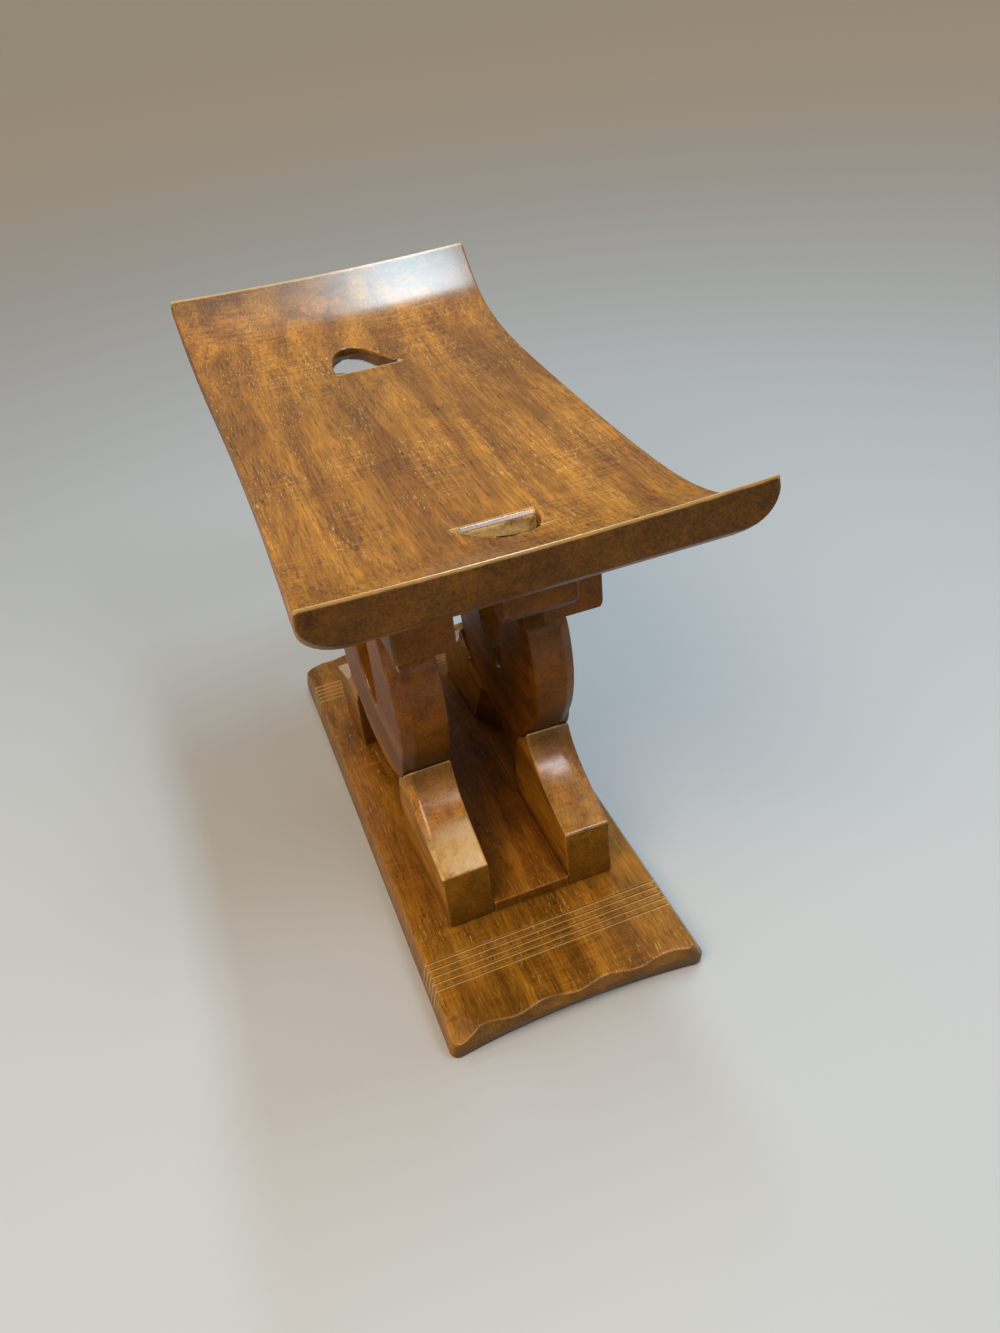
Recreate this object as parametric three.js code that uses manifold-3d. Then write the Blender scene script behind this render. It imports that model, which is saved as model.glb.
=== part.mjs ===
// A carved wooden stool: a long seat board that sweeps up at both ends, two side panels
// in the form of a crescent on two feet, and a heavy base board with cut lines at its ends.
// Millimetres, +Z up. X runs along the seat, Y across it. The origin is on the floor,
// under the middle of the seat. The near end is at +X, and the right side is at +Y.

import * as THREE from 'three';
import { mergeVertices } from 'three/addons/utils/BufferGeometryUtils.js';
import Module from 'manifold-3d';

// Clearances
const GAP = 0.3; // left between two pieces that fit on or in each other
const OVERRUN = 4; // a cutter runs past the face that it opens by this much

// Seat board
const SEAT_LENGTH = 560;
const SEAT_NEAR_WIDTH = 293;
const SEAT_FAR_WIDTH = 288;
const SEAT_MIDDLE_WIDTH = 276;
const SEAT_END_RISE = 53; // how far the ends stand above the middle
const SEAT_FAR_LIFT = 12.5; // the far end stands this much higher than the near end
const SEAT_MIDDLE_THICKNESS = 17;
const SEAT_END_THICKNESS = 31; // measured straight down at the end face
const SEAT_DISH = 3; // the top is hollowed this deep across its width
const SEAT_EDGE_HEIGHT = 9; // upright part of the long edge, above the rounding
const SEAT_LEFT_EDGE_RADIUS = 29; // the underside rounds up to the long edge over this width
const SEAT_RIGHT_EDGE_RADIUS = 23;
const SEAT_EDGE_BULGE = 1.3; // the long edge swells out a little below its top
const seatRisePowerShare = 5.8; // flat in the middle, then a quick sweep up
const seatThickeningPowerShare = 3;

// Hand holes through the seat, flat on the side of the sitter
const HOLE_FLAT_X = 157;
const NEAR_HOLE_MIDDLE_Y = 7; // both holes are cut a little to the right of the middle
const FAR_HOLE_MIDDLE_Y = 5;
const HOLE_WIDTH = 62;
const NEAR_HOLE_DEPTH = 24;
const FAR_HOLE_DEPTH = 37;
const HOLE_PEAK_OFFSET = 10; // the deepest point lies this far off the hole's own middle
const HOLE_UNDERCUT = 26; // the curved wall slants out by this much below, for the fingers
const holeTailShares = [0.35, 0.5]; // the long tail's handle, in shares of depth and half width

// Grip batten under the near end of the seat, outside its hand hole
const BATTEN_SETBACK = 35; // from the end of the seat to the batten's outer face
const BATTEN_MIDDLE_Y = 5;
const BATTEN_THICKNESS = 26;
const BATTEN_WIDTH = 50;
const BATTEN_DROP = 24; // below the underside of the seat, at its outer face
const BATTEN_BEVEL = 8;

// Base board
const BASE_LENGTH = 548;
const BASE_WIDTH = 225;
const BASE_THICKNESS = 30.6;
const BASE_EDGE_HEIGHT = 11; // upright edge below the long bevels
const BASE_LEFT_BEVEL = 4.5; // width of the bevel along the left side
const BASE_RIGHT_BEVEL = 9;
const BASE_CORNER_RADIUS = 9;
const BASE_TOP_HOLLOW = 2; // the end faces are cut hollow in plan by this much at the top
const BASE_BOTTOM_HOLLOW = 9;
const BASE_END_UNDERCUT = 3.5; // the end faces lean in by this much towards the floor
const BASE_END_BEVEL = 10; // height of the bevel at the top of each end face
const BASE_WAVE_DEPTH = 5; // the upper edge of that bevel is waved
const waveCount = 4;
const CORNER_WEAR_LENGTH = 45; // the corners of the top are worn down in a flat slope
const CORNER_WEAR_DEPTH = 11;
const LEFT_CORNER_WEAR = 30; // width of that slope at the end face
const RIGHT_CORNER_WEAR = 12;

// Cut lines across each end of the base board
const LINE_FIRST_X = 195;
const LINE_SPACING = 7;
const LINE_WIDTH = 2;
const LINE_DEPTH = 1.4;
const lineCount = 5;

// Side panels
const PANEL_THICKNESS = 41;
const PANEL_INNER_Y = 35; // from the middle to a panel's inner face at its near end, and to its feet
const LEFT_PANEL_SPREAD = 7; // how much further out the left panel stands at the far end
const RIGHT_PANEL_SPREAD = 5;
const PANEL_HALF_LENGTH = 168; // to the end faces of the feet and of the heads

// Channel floor between the panels
const FLOOR_THICKNESS = 11;

// Feet
const FOOT_END_HEIGHT = 61; // top of a foot at its end face, above the base board
const FOOT_NECK_X = 91; // where the top of a foot meets the crescent
const FOOT_INNER_TOP_X = 66; // where the inner face of a foot meets the crescent
const NEAR_FOOT_INNER_X = 46; // inner face of a foot at the base board
const FAR_FOOT_INNER_X = 100;
const footTopShares = [[0.64, 0.2], [0.1, 0.42]]; // the curve's two handles, end face to neck
const footInnerShare = 0.7; // height of the inner face's handle

// Webs that close the arches between the feet. Each is hollowed on its inner side.
const WEB_RECESS = 16; // the web's outer face lies this far inside the feet's outer faces
const WEB_HOLLOW_DEPTH = 16; // depth of the hollow at its deepest line
const WEB_HOLLOW_NEAR_X = 71; // where the hollow's near slope would start at the inner face
const WEB_HOLLOW_DEEP_X = 48; // the deepest line, this far towards the far end
const WEB_HOLLOW_FAR_X = 70; // where the far slope ends at the inner face
const WEB_HOLLOW_LEAN = 34; // the far edge and the deepest line lean towards the middle above

// Crescents
const CRESCENT_RADIUS = 117;
const CRESCENT_LIFT = 73.4; // from the base board to the underside of the belly
const ARM_HEIGHT = 79; // from the middle of the belly to the top of the arms
const ARM_OUTER_X = 104; // outer face of an arm where it meets its head
const ARM_WAIST_X = 76; // the outer face of an arm is drawn in towards this
const crescentTurnShare = 0.1; // the round belly ends this share of a half turn above its middle
const armWaistShares = [0.3, 0.72]; // heights of the waist's two handles

// Fork between the two arms of a crescent
const FORK_TOP_X = 50;
const FORK_BOTTOM_X = 18; // the bottom of the fork lies this far towards the near end
const FORK_FLOOR_THICKNESS = 71; // wood left under the fork
const FORK_WAIST_X = 40; // the sides of the fork are drawn in towards this
const forkWaistShare = 0.36; // height of the waist between the fork's bottom and its top

// Heads between the arms and the seat
const HEAD_HEIGHT = 86; // from the arms to the underside of the seat's middle
const HEAD_FRONT_RISE = 12; // the underside of a head is this much higher at its end face
const HEAD_INNER_OVERHANG = 2; // past the inner face of the panel
const HEAD_OUTER_OVERHANG = 4; // past the outer face of the panel
const HEAD_ROUNDING = 8; // radius of the lower outer edge at the end face

// Tenons, each one piece with the part below its joint
const TENON_LENGTH = 18; // along X
const TENON_WIDTH = 18; // along Y
const TENON_DEPTH = 14;
const BELLY_TENON_DEPTH = 8; // into a foot, below the belly's underside at the tenon's middle
const SEAT_TENON_LENGTH = 40;
const SEAT_TENON_DEPTH = 7;

// Fineness of the faceted curves
const seatStations = 48;
const topSteps = 10;
const roundSteps = 5;
const curveSteps = 14;
const endSteps = 48;

const X_AXIS = new THREE.Vector3(1, 0, 0);
const Y_AXIS = new THREE.Vector3(0, 1, 0);
const Z_AXIS = new THREE.Vector3(0, 0, 1);

const RIGHT = 1;
const LEFT = -1;
const NEAR = 1;
const FAR = -1;

const footBottomZ = BASE_THICKNESS + GAP;
const crescentCentreZ = BASE_THICKNESS + CRESCENT_LIFT + CRESCENT_RADIUS;
const forkBottomZ = BASE_THICKNESS + CRESCENT_LIFT + FORK_FLOOR_THICKNESS;
const armTopZ = crescentCentreZ + ARM_HEIGHT;
const headFrontZ = armTopZ + HEAD_FRONT_RISE;
const seatMiddleZ = armTopZ + HEAD_HEIGHT + SEAT_MIDDLE_THICKNESS; // its top, at the long edges
const seatHalfLength = SEAT_LENGTH / 2;
const seatHighest = seatMiddleZ + SEAT_END_RISE + SEAT_FAR_LIFT;
const battenFaceX = seatHalfLength - BATTEN_SETBACK;
const floorTopZ = BASE_THICKNESS + FLOOR_THICKNESS;

const wasm = await Module();
wasm.setup();

function solidFrom(geometry) {
  const bare = geometry.clone();
  bare.deleteAttribute('normal');
  bare.deleteAttribute('uv');
  const merged = mergeVertices(bare);
  return new wasm.Manifold(
    new wasm.Mesh({
      numProp: 3,
      vertProperties: new Float32Array(merged.attributes.position.array),
      triVerts: new Uint32Array(merged.index.array),
    }),
  );
}

function geometryFrom(solid) {
  const { vertProperties, triVerts } = solid.getMesh();
  const geometry = new THREE.BufferGeometry();
  geometry.setAttribute('position', new THREE.BufferAttribute(new Float32Array(vertProperties), 3));
  geometry.setIndex(new THREE.BufferAttribute(new Uint32Array(triVerts), 1));
  geometry.computeVertexNormals();
  return geometry;
}

// A closed skin through rings of points, each ring anticlockwise as seen from the last ring's end.
// The function flat gives the two coordinates in which a ring is drawn.
function loft(rings, flat) {
  const count = rings[0].length;
  const last = (rings.length - 1) * count;
  const index = [];
  for (let ring = 0; ring + 1 < rings.length; ring++) {
    for (let i = 0; i < count; i++) {
      const a = ring * count + i;
      const b = ring * count + ((i + 1) % count);
      index.push(a, b, b + count, a, b + count, a + count);
    }
  }
  for (const [a, b, c] of THREE.ShapeUtils.triangulateShape(rings[0].map(flat), [])) {
    index.push(a, c, b);
  }
  for (const [a, b, c] of THREE.ShapeUtils.triangulateShape(rings.at(-1).map(flat), [])) {
    index.push(last + a, last + b, last + c);
  }
  const geometry = new THREE.BufferGeometry();
  geometry.setFromPoints(rings.flat());
  geometry.setIndex(index);
  return geometry;
}

// A shape drawn in x and y, made solid between two heights.
function prism(shape, low, high) {
  const geometry = new THREE.ExtrudeGeometry(shape, {
    depth: high - low,
    bevelEnabled: false,
    curveSegments: curveSteps,
  });
  return geometry.translate(0, 0, low);
}

// A shape drawn in x and z, made solid across the stool between two values of y.
function slab(shape, from, to) {
  return prism(shape, -Math.max(from, to), -Math.min(from, to)).rotateX(Math.PI / 2);
}

// A shape drawn in y and z, made solid along the stool between two values of x.
function beam(shape, from, to) {
  const turn = new THREE.Matrix4().makeBasis(Y_AXIS, Z_AXIS, X_AXIS);
  return prism(shape, from, to).applyMatrix4(turn);
}

function box(low, high) {
  const size = high.clone().sub(low);
  const middle = low.clone().add(high).multiplyScalar(1 / 2);
  return new THREE.BoxGeometry(size.x, size.y, size.z).translate(middle.x, middle.y, middle.z);
}

// Seat: how its outline runs from end to end

function seatHalfWidth(x) {
  const share = x / seatHalfLength;
  const endWidth = x > 0 ? SEAT_NEAR_WIDTH : SEAT_FAR_WIDTH;
  return (SEAT_MIDDLE_WIDTH + (endWidth - SEAT_MIDDLE_WIDTH) * share ** 2) / 2;
}

function seatEdgeTop(x) {
  const share = Math.abs(x) / seatHalfLength;
  const lift = (-x / SEAT_LENGTH) * SEAT_FAR_LIFT;
  return seatMiddleZ + SEAT_END_RISE * share ** seatRisePowerShare + lift;
}

function seatUnderside(x) {
  const share = Math.abs(x) / seatHalfLength;
  const growth = (SEAT_END_THICKNESS - SEAT_MIDDLE_THICKNESS) * share ** seatThickeningPowerShare;
  return seatEdgeTop(x) - SEAT_MIDDLE_THICKNESS - growth;
}

function seatStationXs() {
  const shares = Array.from({ length: seatStations + 1 }, (_, i) => i / seatStations);
  return shares.map((share) => share * SEAT_LENGTH - seatHalfLength);
}

// One section of the seat: up the rounded right edge, over the dished top and down the left edge.
function seatSection(x) {
  const half = seatHalfWidth(x);
  const side = half + SEAT_EDGE_BULGE;
  const shoulder = seatEdgeTop(x) - SEAT_EDGE_HEIGHT;
  const drop = shoulder - seatUnderside(x);
  const rounding = (radius) => Array.from({ length: roundSteps + 1 }, (_, i) => {
    const angle = ((i / roundSteps) * Math.PI) / 2;
    return [side - radius * (1 - Math.sin(angle)), shoulder - drop * Math.cos(angle)];
  });
  const top = Array.from({ length: topSteps + 1 }, (_, i) => {
    const share = 1 - (2 * i) / topSteps;
    return [half * share, seatEdgeTop(x) - SEAT_DISH * (1 - share ** 2)];
  });
  const right = rounding(SEAT_RIGHT_EDGE_RADIUS);
  const left = rounding(SEAT_LEFT_EDGE_RADIUS).map(([y, z]) => [-y, z]).reverse();
  return [...right, ...top, ...left].map(([y, z]) => new THREE.Vector3(x, y, z));
}

const acrossAndUp = (point) => new THREE.Vector2(point.y, point.z);
const alongAndAcross = (point) => new THREE.Vector2(point.x, point.y);

// The space that the seat takes from what stands below it, with a clearance under the board.
function seatShadow() {
  const rings = seatStationXs().map((x) => {
    const low = seatUnderside(x) - GAP;
    const high = seatHighest + OVERRUN;
    const side = SEAT_NEAR_WIDTH;
    const corners = [[-side, low], [side, low], [side, high], [-side, high]];
    return corners.map(([y, z]) => new THREE.Vector3(x, y, z));
  });
  return loft(rings, acrossAndUp);
}

// One ring of a hand hole: its flat side keeps its place, and its curve reaches out by the depth.
function holeRing(end, depth, z) {
  const half = HOLE_WIDTH / 2;
  const deepest = HOLE_FLAT_X + depth;
  const [tailDepthShare, tailWidthShare] = holeTailShares;
  const tailX = HOLE_FLAT_X + depth * tailDepthShare;
  const shape = new THREE.Shape();
  shape.moveTo(HOLE_FLAT_X, -half);
  shape.bezierCurveTo(tailX, -half * tailWidthShare, deepest, -HOLE_PEAK_OFFSET, deepest, HOLE_PEAK_OFFSET);
  shape.quadraticCurveTo(deepest, half, HOLE_FLAT_X, half);
  const middle = end === NEAR ? NEAR_HOLE_MIDDLE_Y : FAR_HOLE_MIDDLE_Y;
  return shape.getPoints(curveSteps).map(({ x, y }) => new THREE.Vector3(end * x, middle + end * y, z));
}

// A hand hole, as a cutter: its curved wall slants out from the top of the seat to its underside.
function handHoleCutter(end) {
  const depth = end === NEAR ? NEAR_HOLE_DEPTH : FAR_HOLE_DEPTH;
  const topZ = seatEdgeTop(end * HOLE_FLAT_X);
  const drop = SEAT_END_THICKNESS + OVERRUN;
  const slope = HOLE_UNDERCUT / SEAT_MIDDLE_THICKNESS;
  const rings = [
    holeRing(end, depth + drop * slope, topZ - drop),
    holeRing(end, depth, topZ),
    holeRing(end, depth, seatHighest + OVERRUN),
  ];
  return loft(rings, alongAndAcross);
}

function makeSeat(panels) {
  let solid = solidFrom(loft(seatStationXs().map(seatSection), acrossAndUp));
  for (const end of [NEAR, FAR]) {
    solid = solid.subtract(solidFrom(handHoleCutter(end)));
    for (const panel of panels) {
      const mortise = seatTenon(end, panel.userData.side, GAP).applyMatrix4(panel.matrix);
      solid = solid.subtract(solidFrom(mortise));
    }
  }
  return geometryFrom(solid);
}

function makeBatten() {
  const bottom = seatUnderside(battenFaceX) - BATTEN_DROP;
  const inner = battenFaceX - BATTEN_THICKNESS;
  const shape = new THREE.Shape();
  shape.moveTo(inner, bottom);
  shape.lineTo(battenFaceX - BATTEN_BEVEL, bottom);
  shape.lineTo(battenFaceX, bottom + BATTEN_BEVEL);
  shape.lineTo(battenFaceX, seatHighest);
  shape.lineTo(inner, seatHighest);
  const bar = slab(shape, BATTEN_MIDDLE_Y - BATTEN_WIDTH / 2, BATTEN_MIDDLE_Y + BATTEN_WIDTH / 2);
  return geometryFrom(solidFrom(bar).subtract(solidFrom(seatShadow())));
}

// Base board: how far each point of an end's outline lies in from the end of the board
function endInset(share, half, { undercut, hollow, wave }) {
  const bow = hollow * (1 - share ** 2);
  const ripple = (wave * (1 - Math.cos((share + 1) * waveCount * Math.PI))) / 2;
  const inCorner = Math.max(0, BASE_CORNER_RADIUS - half * (1 - Math.abs(share)));
  const corner = BASE_CORNER_RADIUS - Math.sqrt(BASE_CORNER_RADIUS ** 2 - inCorner ** 2);
  return undercut + bow + ripple + corner;
}

// One ring of the base board's outline in plan, anticlockwise from above. Its points lie
// closer together towards the corners.
function baseRing(z, left, right, cut) {
  const half = (left + right) / 2;
  const edge = Array.from({ length: endSteps + 1 }, (_, i) => {
    const share = -Math.cos((i / endSteps) * Math.PI);
    return { x: BASE_LENGTH / 2 - endInset(share, half, cut), y: half * share + (right - left) / 2 };
  });
  const nearEnd = edge.map(({ x, y }) => new THREE.Vector3(x, y, z));
  const farEnd = edge.map(({ x, y }) => new THREE.Vector3(-x, y, z)).reverse();
  return [...nearEnd, ...farEnd];
}

function baseBody() {
  const half = BASE_WIDTH / 2;
  const bevelZ = BASE_THICKNESS - BASE_END_BEVEL;
  const inset = (bevelZ - BASE_EDGE_HEIGHT) / (BASE_THICKNESS - BASE_EDGE_HEIGHT);
  const lean = 1 - BASE_EDGE_HEIGHT / bevelZ;
  const edgeHollow = BASE_TOP_HOLLOW + (BASE_BOTTOM_HOLLOW - BASE_TOP_HOLLOW) * lean;
  const bottomCut = { undercut: BASE_END_UNDERCUT, hollow: BASE_BOTTOM_HOLLOW, wave: 0 };
  const edgeCut = { undercut: BASE_END_UNDERCUT * lean, hollow: edgeHollow, wave: 0 };
  const bevelCut = { undercut: 0, hollow: BASE_TOP_HOLLOW, wave: 0 };
  const topCut = { undercut: 0, hollow: BASE_TOP_HOLLOW, wave: BASE_WAVE_DEPTH };
  const rings = [
    baseRing(0, half, half, bottomCut),
    baseRing(BASE_EDGE_HEIGHT, half, half, edgeCut),
    baseRing(bevelZ, half - BASE_LEFT_BEVEL * inset, half - BASE_RIGHT_BEVEL * inset, bevelCut),
    baseRing(BASE_THICKNESS, half - BASE_LEFT_BEVEL, half - BASE_RIGHT_BEVEL, topCut),
  ];
  return loft(rings, alongAndAcross);
}

// The worn slope of one corner, as a cutter: its lower ring lies in the slope's plane.
function cornerCutter(end, side) {
  const width = side === LEFT ? LEFT_CORNER_WEAR : RIGHT_CORNER_WEAR;
  const reachX = CORNER_WEAR_LENGTH * (1 + OVERRUN / width);
  const reachY = width * (1 + OVERRUN / CORNER_WEAR_LENGTH);
  const places = [[-OVERRUN, -OVERRUN], [reachX, -OVERRUN], [-OVERRUN, reachY]];
  const point = ([along, across], z) => {
    return new THREE.Vector3(end * (BASE_LENGTH / 2 - along), side * (BASE_WIDTH / 2 - across), z);
  };
  const slopeZ = ([along, across]) => {
    const share = 1 - along / CORNER_WEAR_LENGTH - across / width;
    return BASE_THICKNESS - CORNER_WEAR_DEPTH * share;
  };
  const ring = end === side ? places : [...places].reverse();
  const low = ring.map((place) => point(place, slopeZ(place)));
  const high = ring.map((place) => point(place, BASE_THICKNESS + OVERRUN));
  return loft([low, high], alongAndAcross);
}

// A V-shaped line across the top of the base board.
function lineCutter(x) {
  const slope = LINE_WIDTH / 2 / LINE_DEPTH;
  const reach = slope * (LINE_DEPTH + OVERRUN);
  const shape = new THREE.Shape();
  shape.moveTo(x, BASE_THICKNESS - LINE_DEPTH);
  shape.lineTo(x + reach, BASE_THICKNESS + OVERRUN);
  shape.lineTo(x - reach, BASE_THICKNESS + OVERRUN);
  return slab(shape, -BASE_WIDTH / 2 - OVERRUN, BASE_WIDTH / 2 + OVERRUN);
}

function makeBaseBoard(panels) {
  let solid = solidFrom(baseBody());
  for (const end of [NEAR, FAR]) {
    for (let line = 0; line < lineCount; line++) {
      solid = solid.subtract(solidFrom(lineCutter(end * (LINE_FIRST_X + line * LINE_SPACING))));
    }
    for (const panel of panels) {
      const mortise = footTenon(end, panel.userData.side, GAP).applyMatrix4(panel.matrix);
      solid = solid.subtract(solidFrom(mortise));
      solid = solid.subtract(solidFrom(cornerCutter(end, panel.userData.side)));
    }
  }
  return geometryFrom(solid);
}

// The slab between the feet fills the channel up to its raised floor.
function makeChannelFloor() {
  const halfWidth = PANEL_INNER_Y - GAP;
  const low = new THREE.Vector3(-PANEL_HALF_LENGTH, -halfWidth, BASE_THICKNESS);
  return box(low, new THREE.Vector3(PANEL_HALF_LENGTH, halfWidth, floorTopZ));
}

// Side panels: each is built in its own frame, with y = 0 on its inner face

function panelFrame(side) {
  const spread = side === LEFT ? LEFT_PANEL_SPREAD : RIGHT_PANEL_SPREAD;
  const frame = new THREE.Group();
  frame.position.set(0, side * (PANEL_INNER_Y + spread / 2), 0);
  frame.rotation.z = -side * Math.atan2(spread, 2 * PANEL_HALF_LENGTH);
  frame.updateMatrix();
  frame.userData.side = side;
  return frame;
}

// Feet and webs start well inside their panel and are cut back to the channel's straight walls.
function panelStart(side) {
  return -side * (LEFT_PANEL_SPREAD + RIGHT_PANEL_SPREAD);
}

function channelCutter(panel) {
  const low = new THREE.Vector3(-seatHalfLength, -PANEL_INNER_Y, 0);
  const high = new THREE.Vector3(seatHalfLength, PANEL_INNER_Y, crescentCentreZ);
  return box(low, high).applyMatrix4(panel.matrix.clone().invert());
}

// A block of the panel's own joinery, centred in its thickness. Its fit is the clearance all round.
function tenon(x, side, length, low, high, fit) {
  const middle = (side * PANEL_THICKNESS) / 2;
  const halfWidth = TENON_WIDTH / 2;
  return box(
    new THREE.Vector3(x - length / 2 - fit, middle - halfWidth - fit, low),
    new THREE.Vector3(x + length / 2 + fit, middle + halfWidth + fit, high),
  );
}

function crescentLowZ(x, clearance) {
  const radius = CRESCENT_RADIUS + clearance;
  return crescentCentreZ - Math.sqrt(radius ** 2 - x ** 2);
}

function footInnerX(end) {
  return end === NEAR ? NEAR_FOOT_INNER_X : FAR_FOOT_INNER_X;
}

function footTenon(end, side, fit) {
  const x = (end * (footInnerX(end) + PANEL_HALF_LENGTH)) / 2;
  return tenon(x, side, TENON_LENGTH, BASE_THICKNESS - TENON_DEPTH - fit, footBottomZ + OVERRUN, fit);
}

function crescentTenon(end, side, fit) {
  const x = (end * (FOOT_INNER_TOP_X + FOOT_NECK_X)) / 2;
  const joint = crescentLowZ(x, 0);
  return tenon(x, side, TENON_LENGTH, joint - BELLY_TENON_DEPTH - fit, joint + TENON_DEPTH, fit);
}

function armTenon(end, side, fit) {
  const x = (end * (FORK_TOP_X + ARM_OUTER_X)) / 2;
  return tenon(x, side, TENON_LENGTH, armTopZ - TENON_DEPTH, armTopZ + TENON_DEPTH + fit, fit);
}

function seatTenon(end, side, fit) {
  const x = (end * (FORK_TOP_X + PANEL_HALF_LENGTH)) / 2;
  const joint = seatUnderside(x);
  return tenon(x, side, SEAT_TENON_LENGTH, joint - TENON_DEPTH, joint + SEAT_TENON_DEPTH + fit, fit);
}

// The angle at which a crescent's underside, with a clearance, passes a value of x
function bellyAngle(x) {
  return -Math.acos(x / (CRESCENT_RADIUS + GAP));
}

// How the inner face of a foot, with a clearance on its inner side, runs from top to bottom
function footInnerFace(end, clearance) {
  const topX = FOOT_INNER_TOP_X - clearance;
  const bottomX = footInnerX(end) - clearance;
  const topZ = crescentLowZ(topX, GAP);
  const handleZ = footBottomZ + footInnerShare * (topZ - footBottomZ);
  return { topX, topZ, bottomX, handleZ };
}

// A foot: flat below and at its end, a top that climbs to a notch, and a round seat for the crescent.
function footShape(end) {
  const neckZ = crescentLowZ(FOOT_NECK_X, GAP);
  const endTopZ = BASE_THICKNESS + FOOT_END_HEIGHT;
  const handles = footTopShares.flatMap(([along, up]) => [
    end * (FOOT_NECK_X + along * (PANEL_HALF_LENGTH - FOOT_NECK_X)),
    endTopZ + up * (neckZ - endTopZ),
  ]);
  const inner = footInnerFace(end, 0);
  const turn = (angle) => (end === NEAR ? angle : -Math.PI - angle);
  const shape = new THREE.Shape();
  shape.moveTo(end * inner.bottomX, footBottomZ);
  shape.lineTo(end * PANEL_HALF_LENGTH, footBottomZ);
  shape.lineTo(end * PANEL_HALF_LENGTH, endTopZ);
  shape.bezierCurveTo(...handles, end * FOOT_NECK_X, neckZ);
  shape.absarc(
    0,
    crescentCentreZ,
    CRESCENT_RADIUS + GAP,
    turn(bellyAngle(FOOT_NECK_X)),
    turn(bellyAngle(inner.topX)),
    end === NEAR,
  );
  shape.quadraticCurveTo(end * inner.bottomX, inner.handleZ, end * inner.bottomX, footBottomZ);
  return shape;
}

function makeFoot(end, panel) {
  const side = panel.userData.side;
  const body = solidFrom(slab(footShape(end), panelStart(side), side * PANEL_THICKNESS));
  const cutBack = body.subtract(solidFrom(channelCutter(panel)));
  const joined = cutBack.add(solidFrom(footTenon(end, side, 0)));
  return geometryFrom(joined.subtract(solidFrom(crescentTenon(end, side, GAP))));
}

// A web fills the arch between two feet and the belly of their crescent.
function webShape() {
  const near = footInnerFace(NEAR, GAP);
  const far = footInnerFace(FAR, GAP);
  const angle = bellyAngle(near.topX);
  const shape = new THREE.Shape();
  shape.moveTo(-far.bottomX, footBottomZ);
  shape.lineTo(near.bottomX, footBottomZ);
  shape.quadraticCurveTo(near.bottomX, near.handleZ, near.topX, near.topZ);
  shape.absarc(0, crescentCentreZ, CRESCENT_RADIUS + GAP, angle, -Math.PI - angle, true);
  shape.quadraticCurveTo(-far.bottomX, far.handleZ, -far.bottomX, footBottomZ);
  return shape;
}

// The hollow on the inner side of a web, above the channel's floor: a long near slope and a
// short far one.
function webHollowCutter(side) {
  const nearSlope = WEB_HOLLOW_DEPTH / (WEB_HOLLOW_NEAR_X + WEB_HOLLOW_DEEP_X);
  const farSlope = WEB_HOLLOW_DEPTH / (WEB_HOLLOW_FAR_X - WEB_HOLLOW_DEEP_X);
  const lean = WEB_HOLLOW_LEAN / (crescentCentreZ - CRESCENT_RADIUS - floorTopZ);
  const inside = side * panelStart(side);
  const ring = (z) => {
    const shift = lean * (z - floorTopZ);
    const places = [
      [WEB_HOLLOW_NEAR_X - inside / nearSlope, inside],
      [shift - WEB_HOLLOW_DEEP_X, WEB_HOLLOW_DEPTH],
      [shift - WEB_HOLLOW_FAR_X + inside / farSlope, inside],
    ];
    const points = places.map(([x, y]) => new THREE.Vector3(x, side * y, z));
    return side === RIGHT ? points : points.reverse();
  };
  return loft([ring(floorTopZ), ring(crescentCentreZ)], alongAndAcross);
}

function makeWeb(panel) {
  const side = panel.userData.side;
  const outerY = side * (PANEL_THICKNESS - WEB_RECESS);
  const body = solidFrom(slab(webShape(), panelStart(side), outerY));
  const cutBack = body.subtract(solidFrom(channelCutter(panel)));
  return geometryFrom(cutBack.subtract(solidFrom(webHollowCutter(side))));
}

// The fork's outline closes above the arms, so that it cuts the heads in line with them.
function forkShape() {
  const waistZ = forkBottomZ + forkWaistShare * (seatMiddleZ - forkBottomZ);
  const shape = new THREE.Shape();
  shape.moveTo(-FORK_TOP_X, seatMiddleZ);
  shape.bezierCurveTo(-FORK_WAIST_X, waistZ, -FORK_BOTTOM_X, forkBottomZ, FORK_BOTTOM_X, forkBottomZ);
  shape.bezierCurveTo(FORK_TOP_X, forkBottomZ, FORK_WAIST_X, waistZ, FORK_TOP_X, seatMiddleZ);
  return shape;
}

function forkCutter(side) {
  return slab(forkShape(), -side * OVERRUN, side * (PANEL_THICKNESS + 2 * OVERRUN));
}

// A crescent: the round belly below, and two arms whose outer faces are drawn in at the waist.
function crescentShape() {
  const turn = crescentTurnShare * Math.PI;
  const shoulderX = CRESCENT_RADIUS * Math.cos(turn);
  const shoulderZ = crescentCentreZ + CRESCENT_RADIUS * Math.sin(turn);
  const [lowZ, highZ] = armWaistShares.map((share) => shoulderZ + share * (armTopZ - shoulderZ));
  const lowX = shoulderX - (lowZ - shoulderZ) * Math.tan(turn);
  const shape = new THREE.Shape();
  shape.absarc(0, crescentCentreZ, CRESCENT_RADIUS, -Math.PI - turn, turn, false);
  shape.bezierCurveTo(lowX, lowZ, ARM_WAIST_X, highZ, ARM_OUTER_X, armTopZ);
  shape.lineTo(-ARM_OUTER_X, armTopZ);
  shape.bezierCurveTo(-ARM_WAIST_X, highZ, -lowX, lowZ, -shoulderX, shoulderZ);
  return shape;
}

function makeCrescent(side) {
  let solid = solidFrom(slab(crescentShape(), 0, side * PANEL_THICKNESS));
  solid = solid.subtract(solidFrom(forkCutter(side)));
  for (const end of [NEAR, FAR]) {
    solid = solid.add(solidFrom(crescentTenon(end, side, 0)));
    solid = solid.add(solidFrom(armTenon(end, side, 0)));
  }
  return geometryFrom(solid);
}

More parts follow.
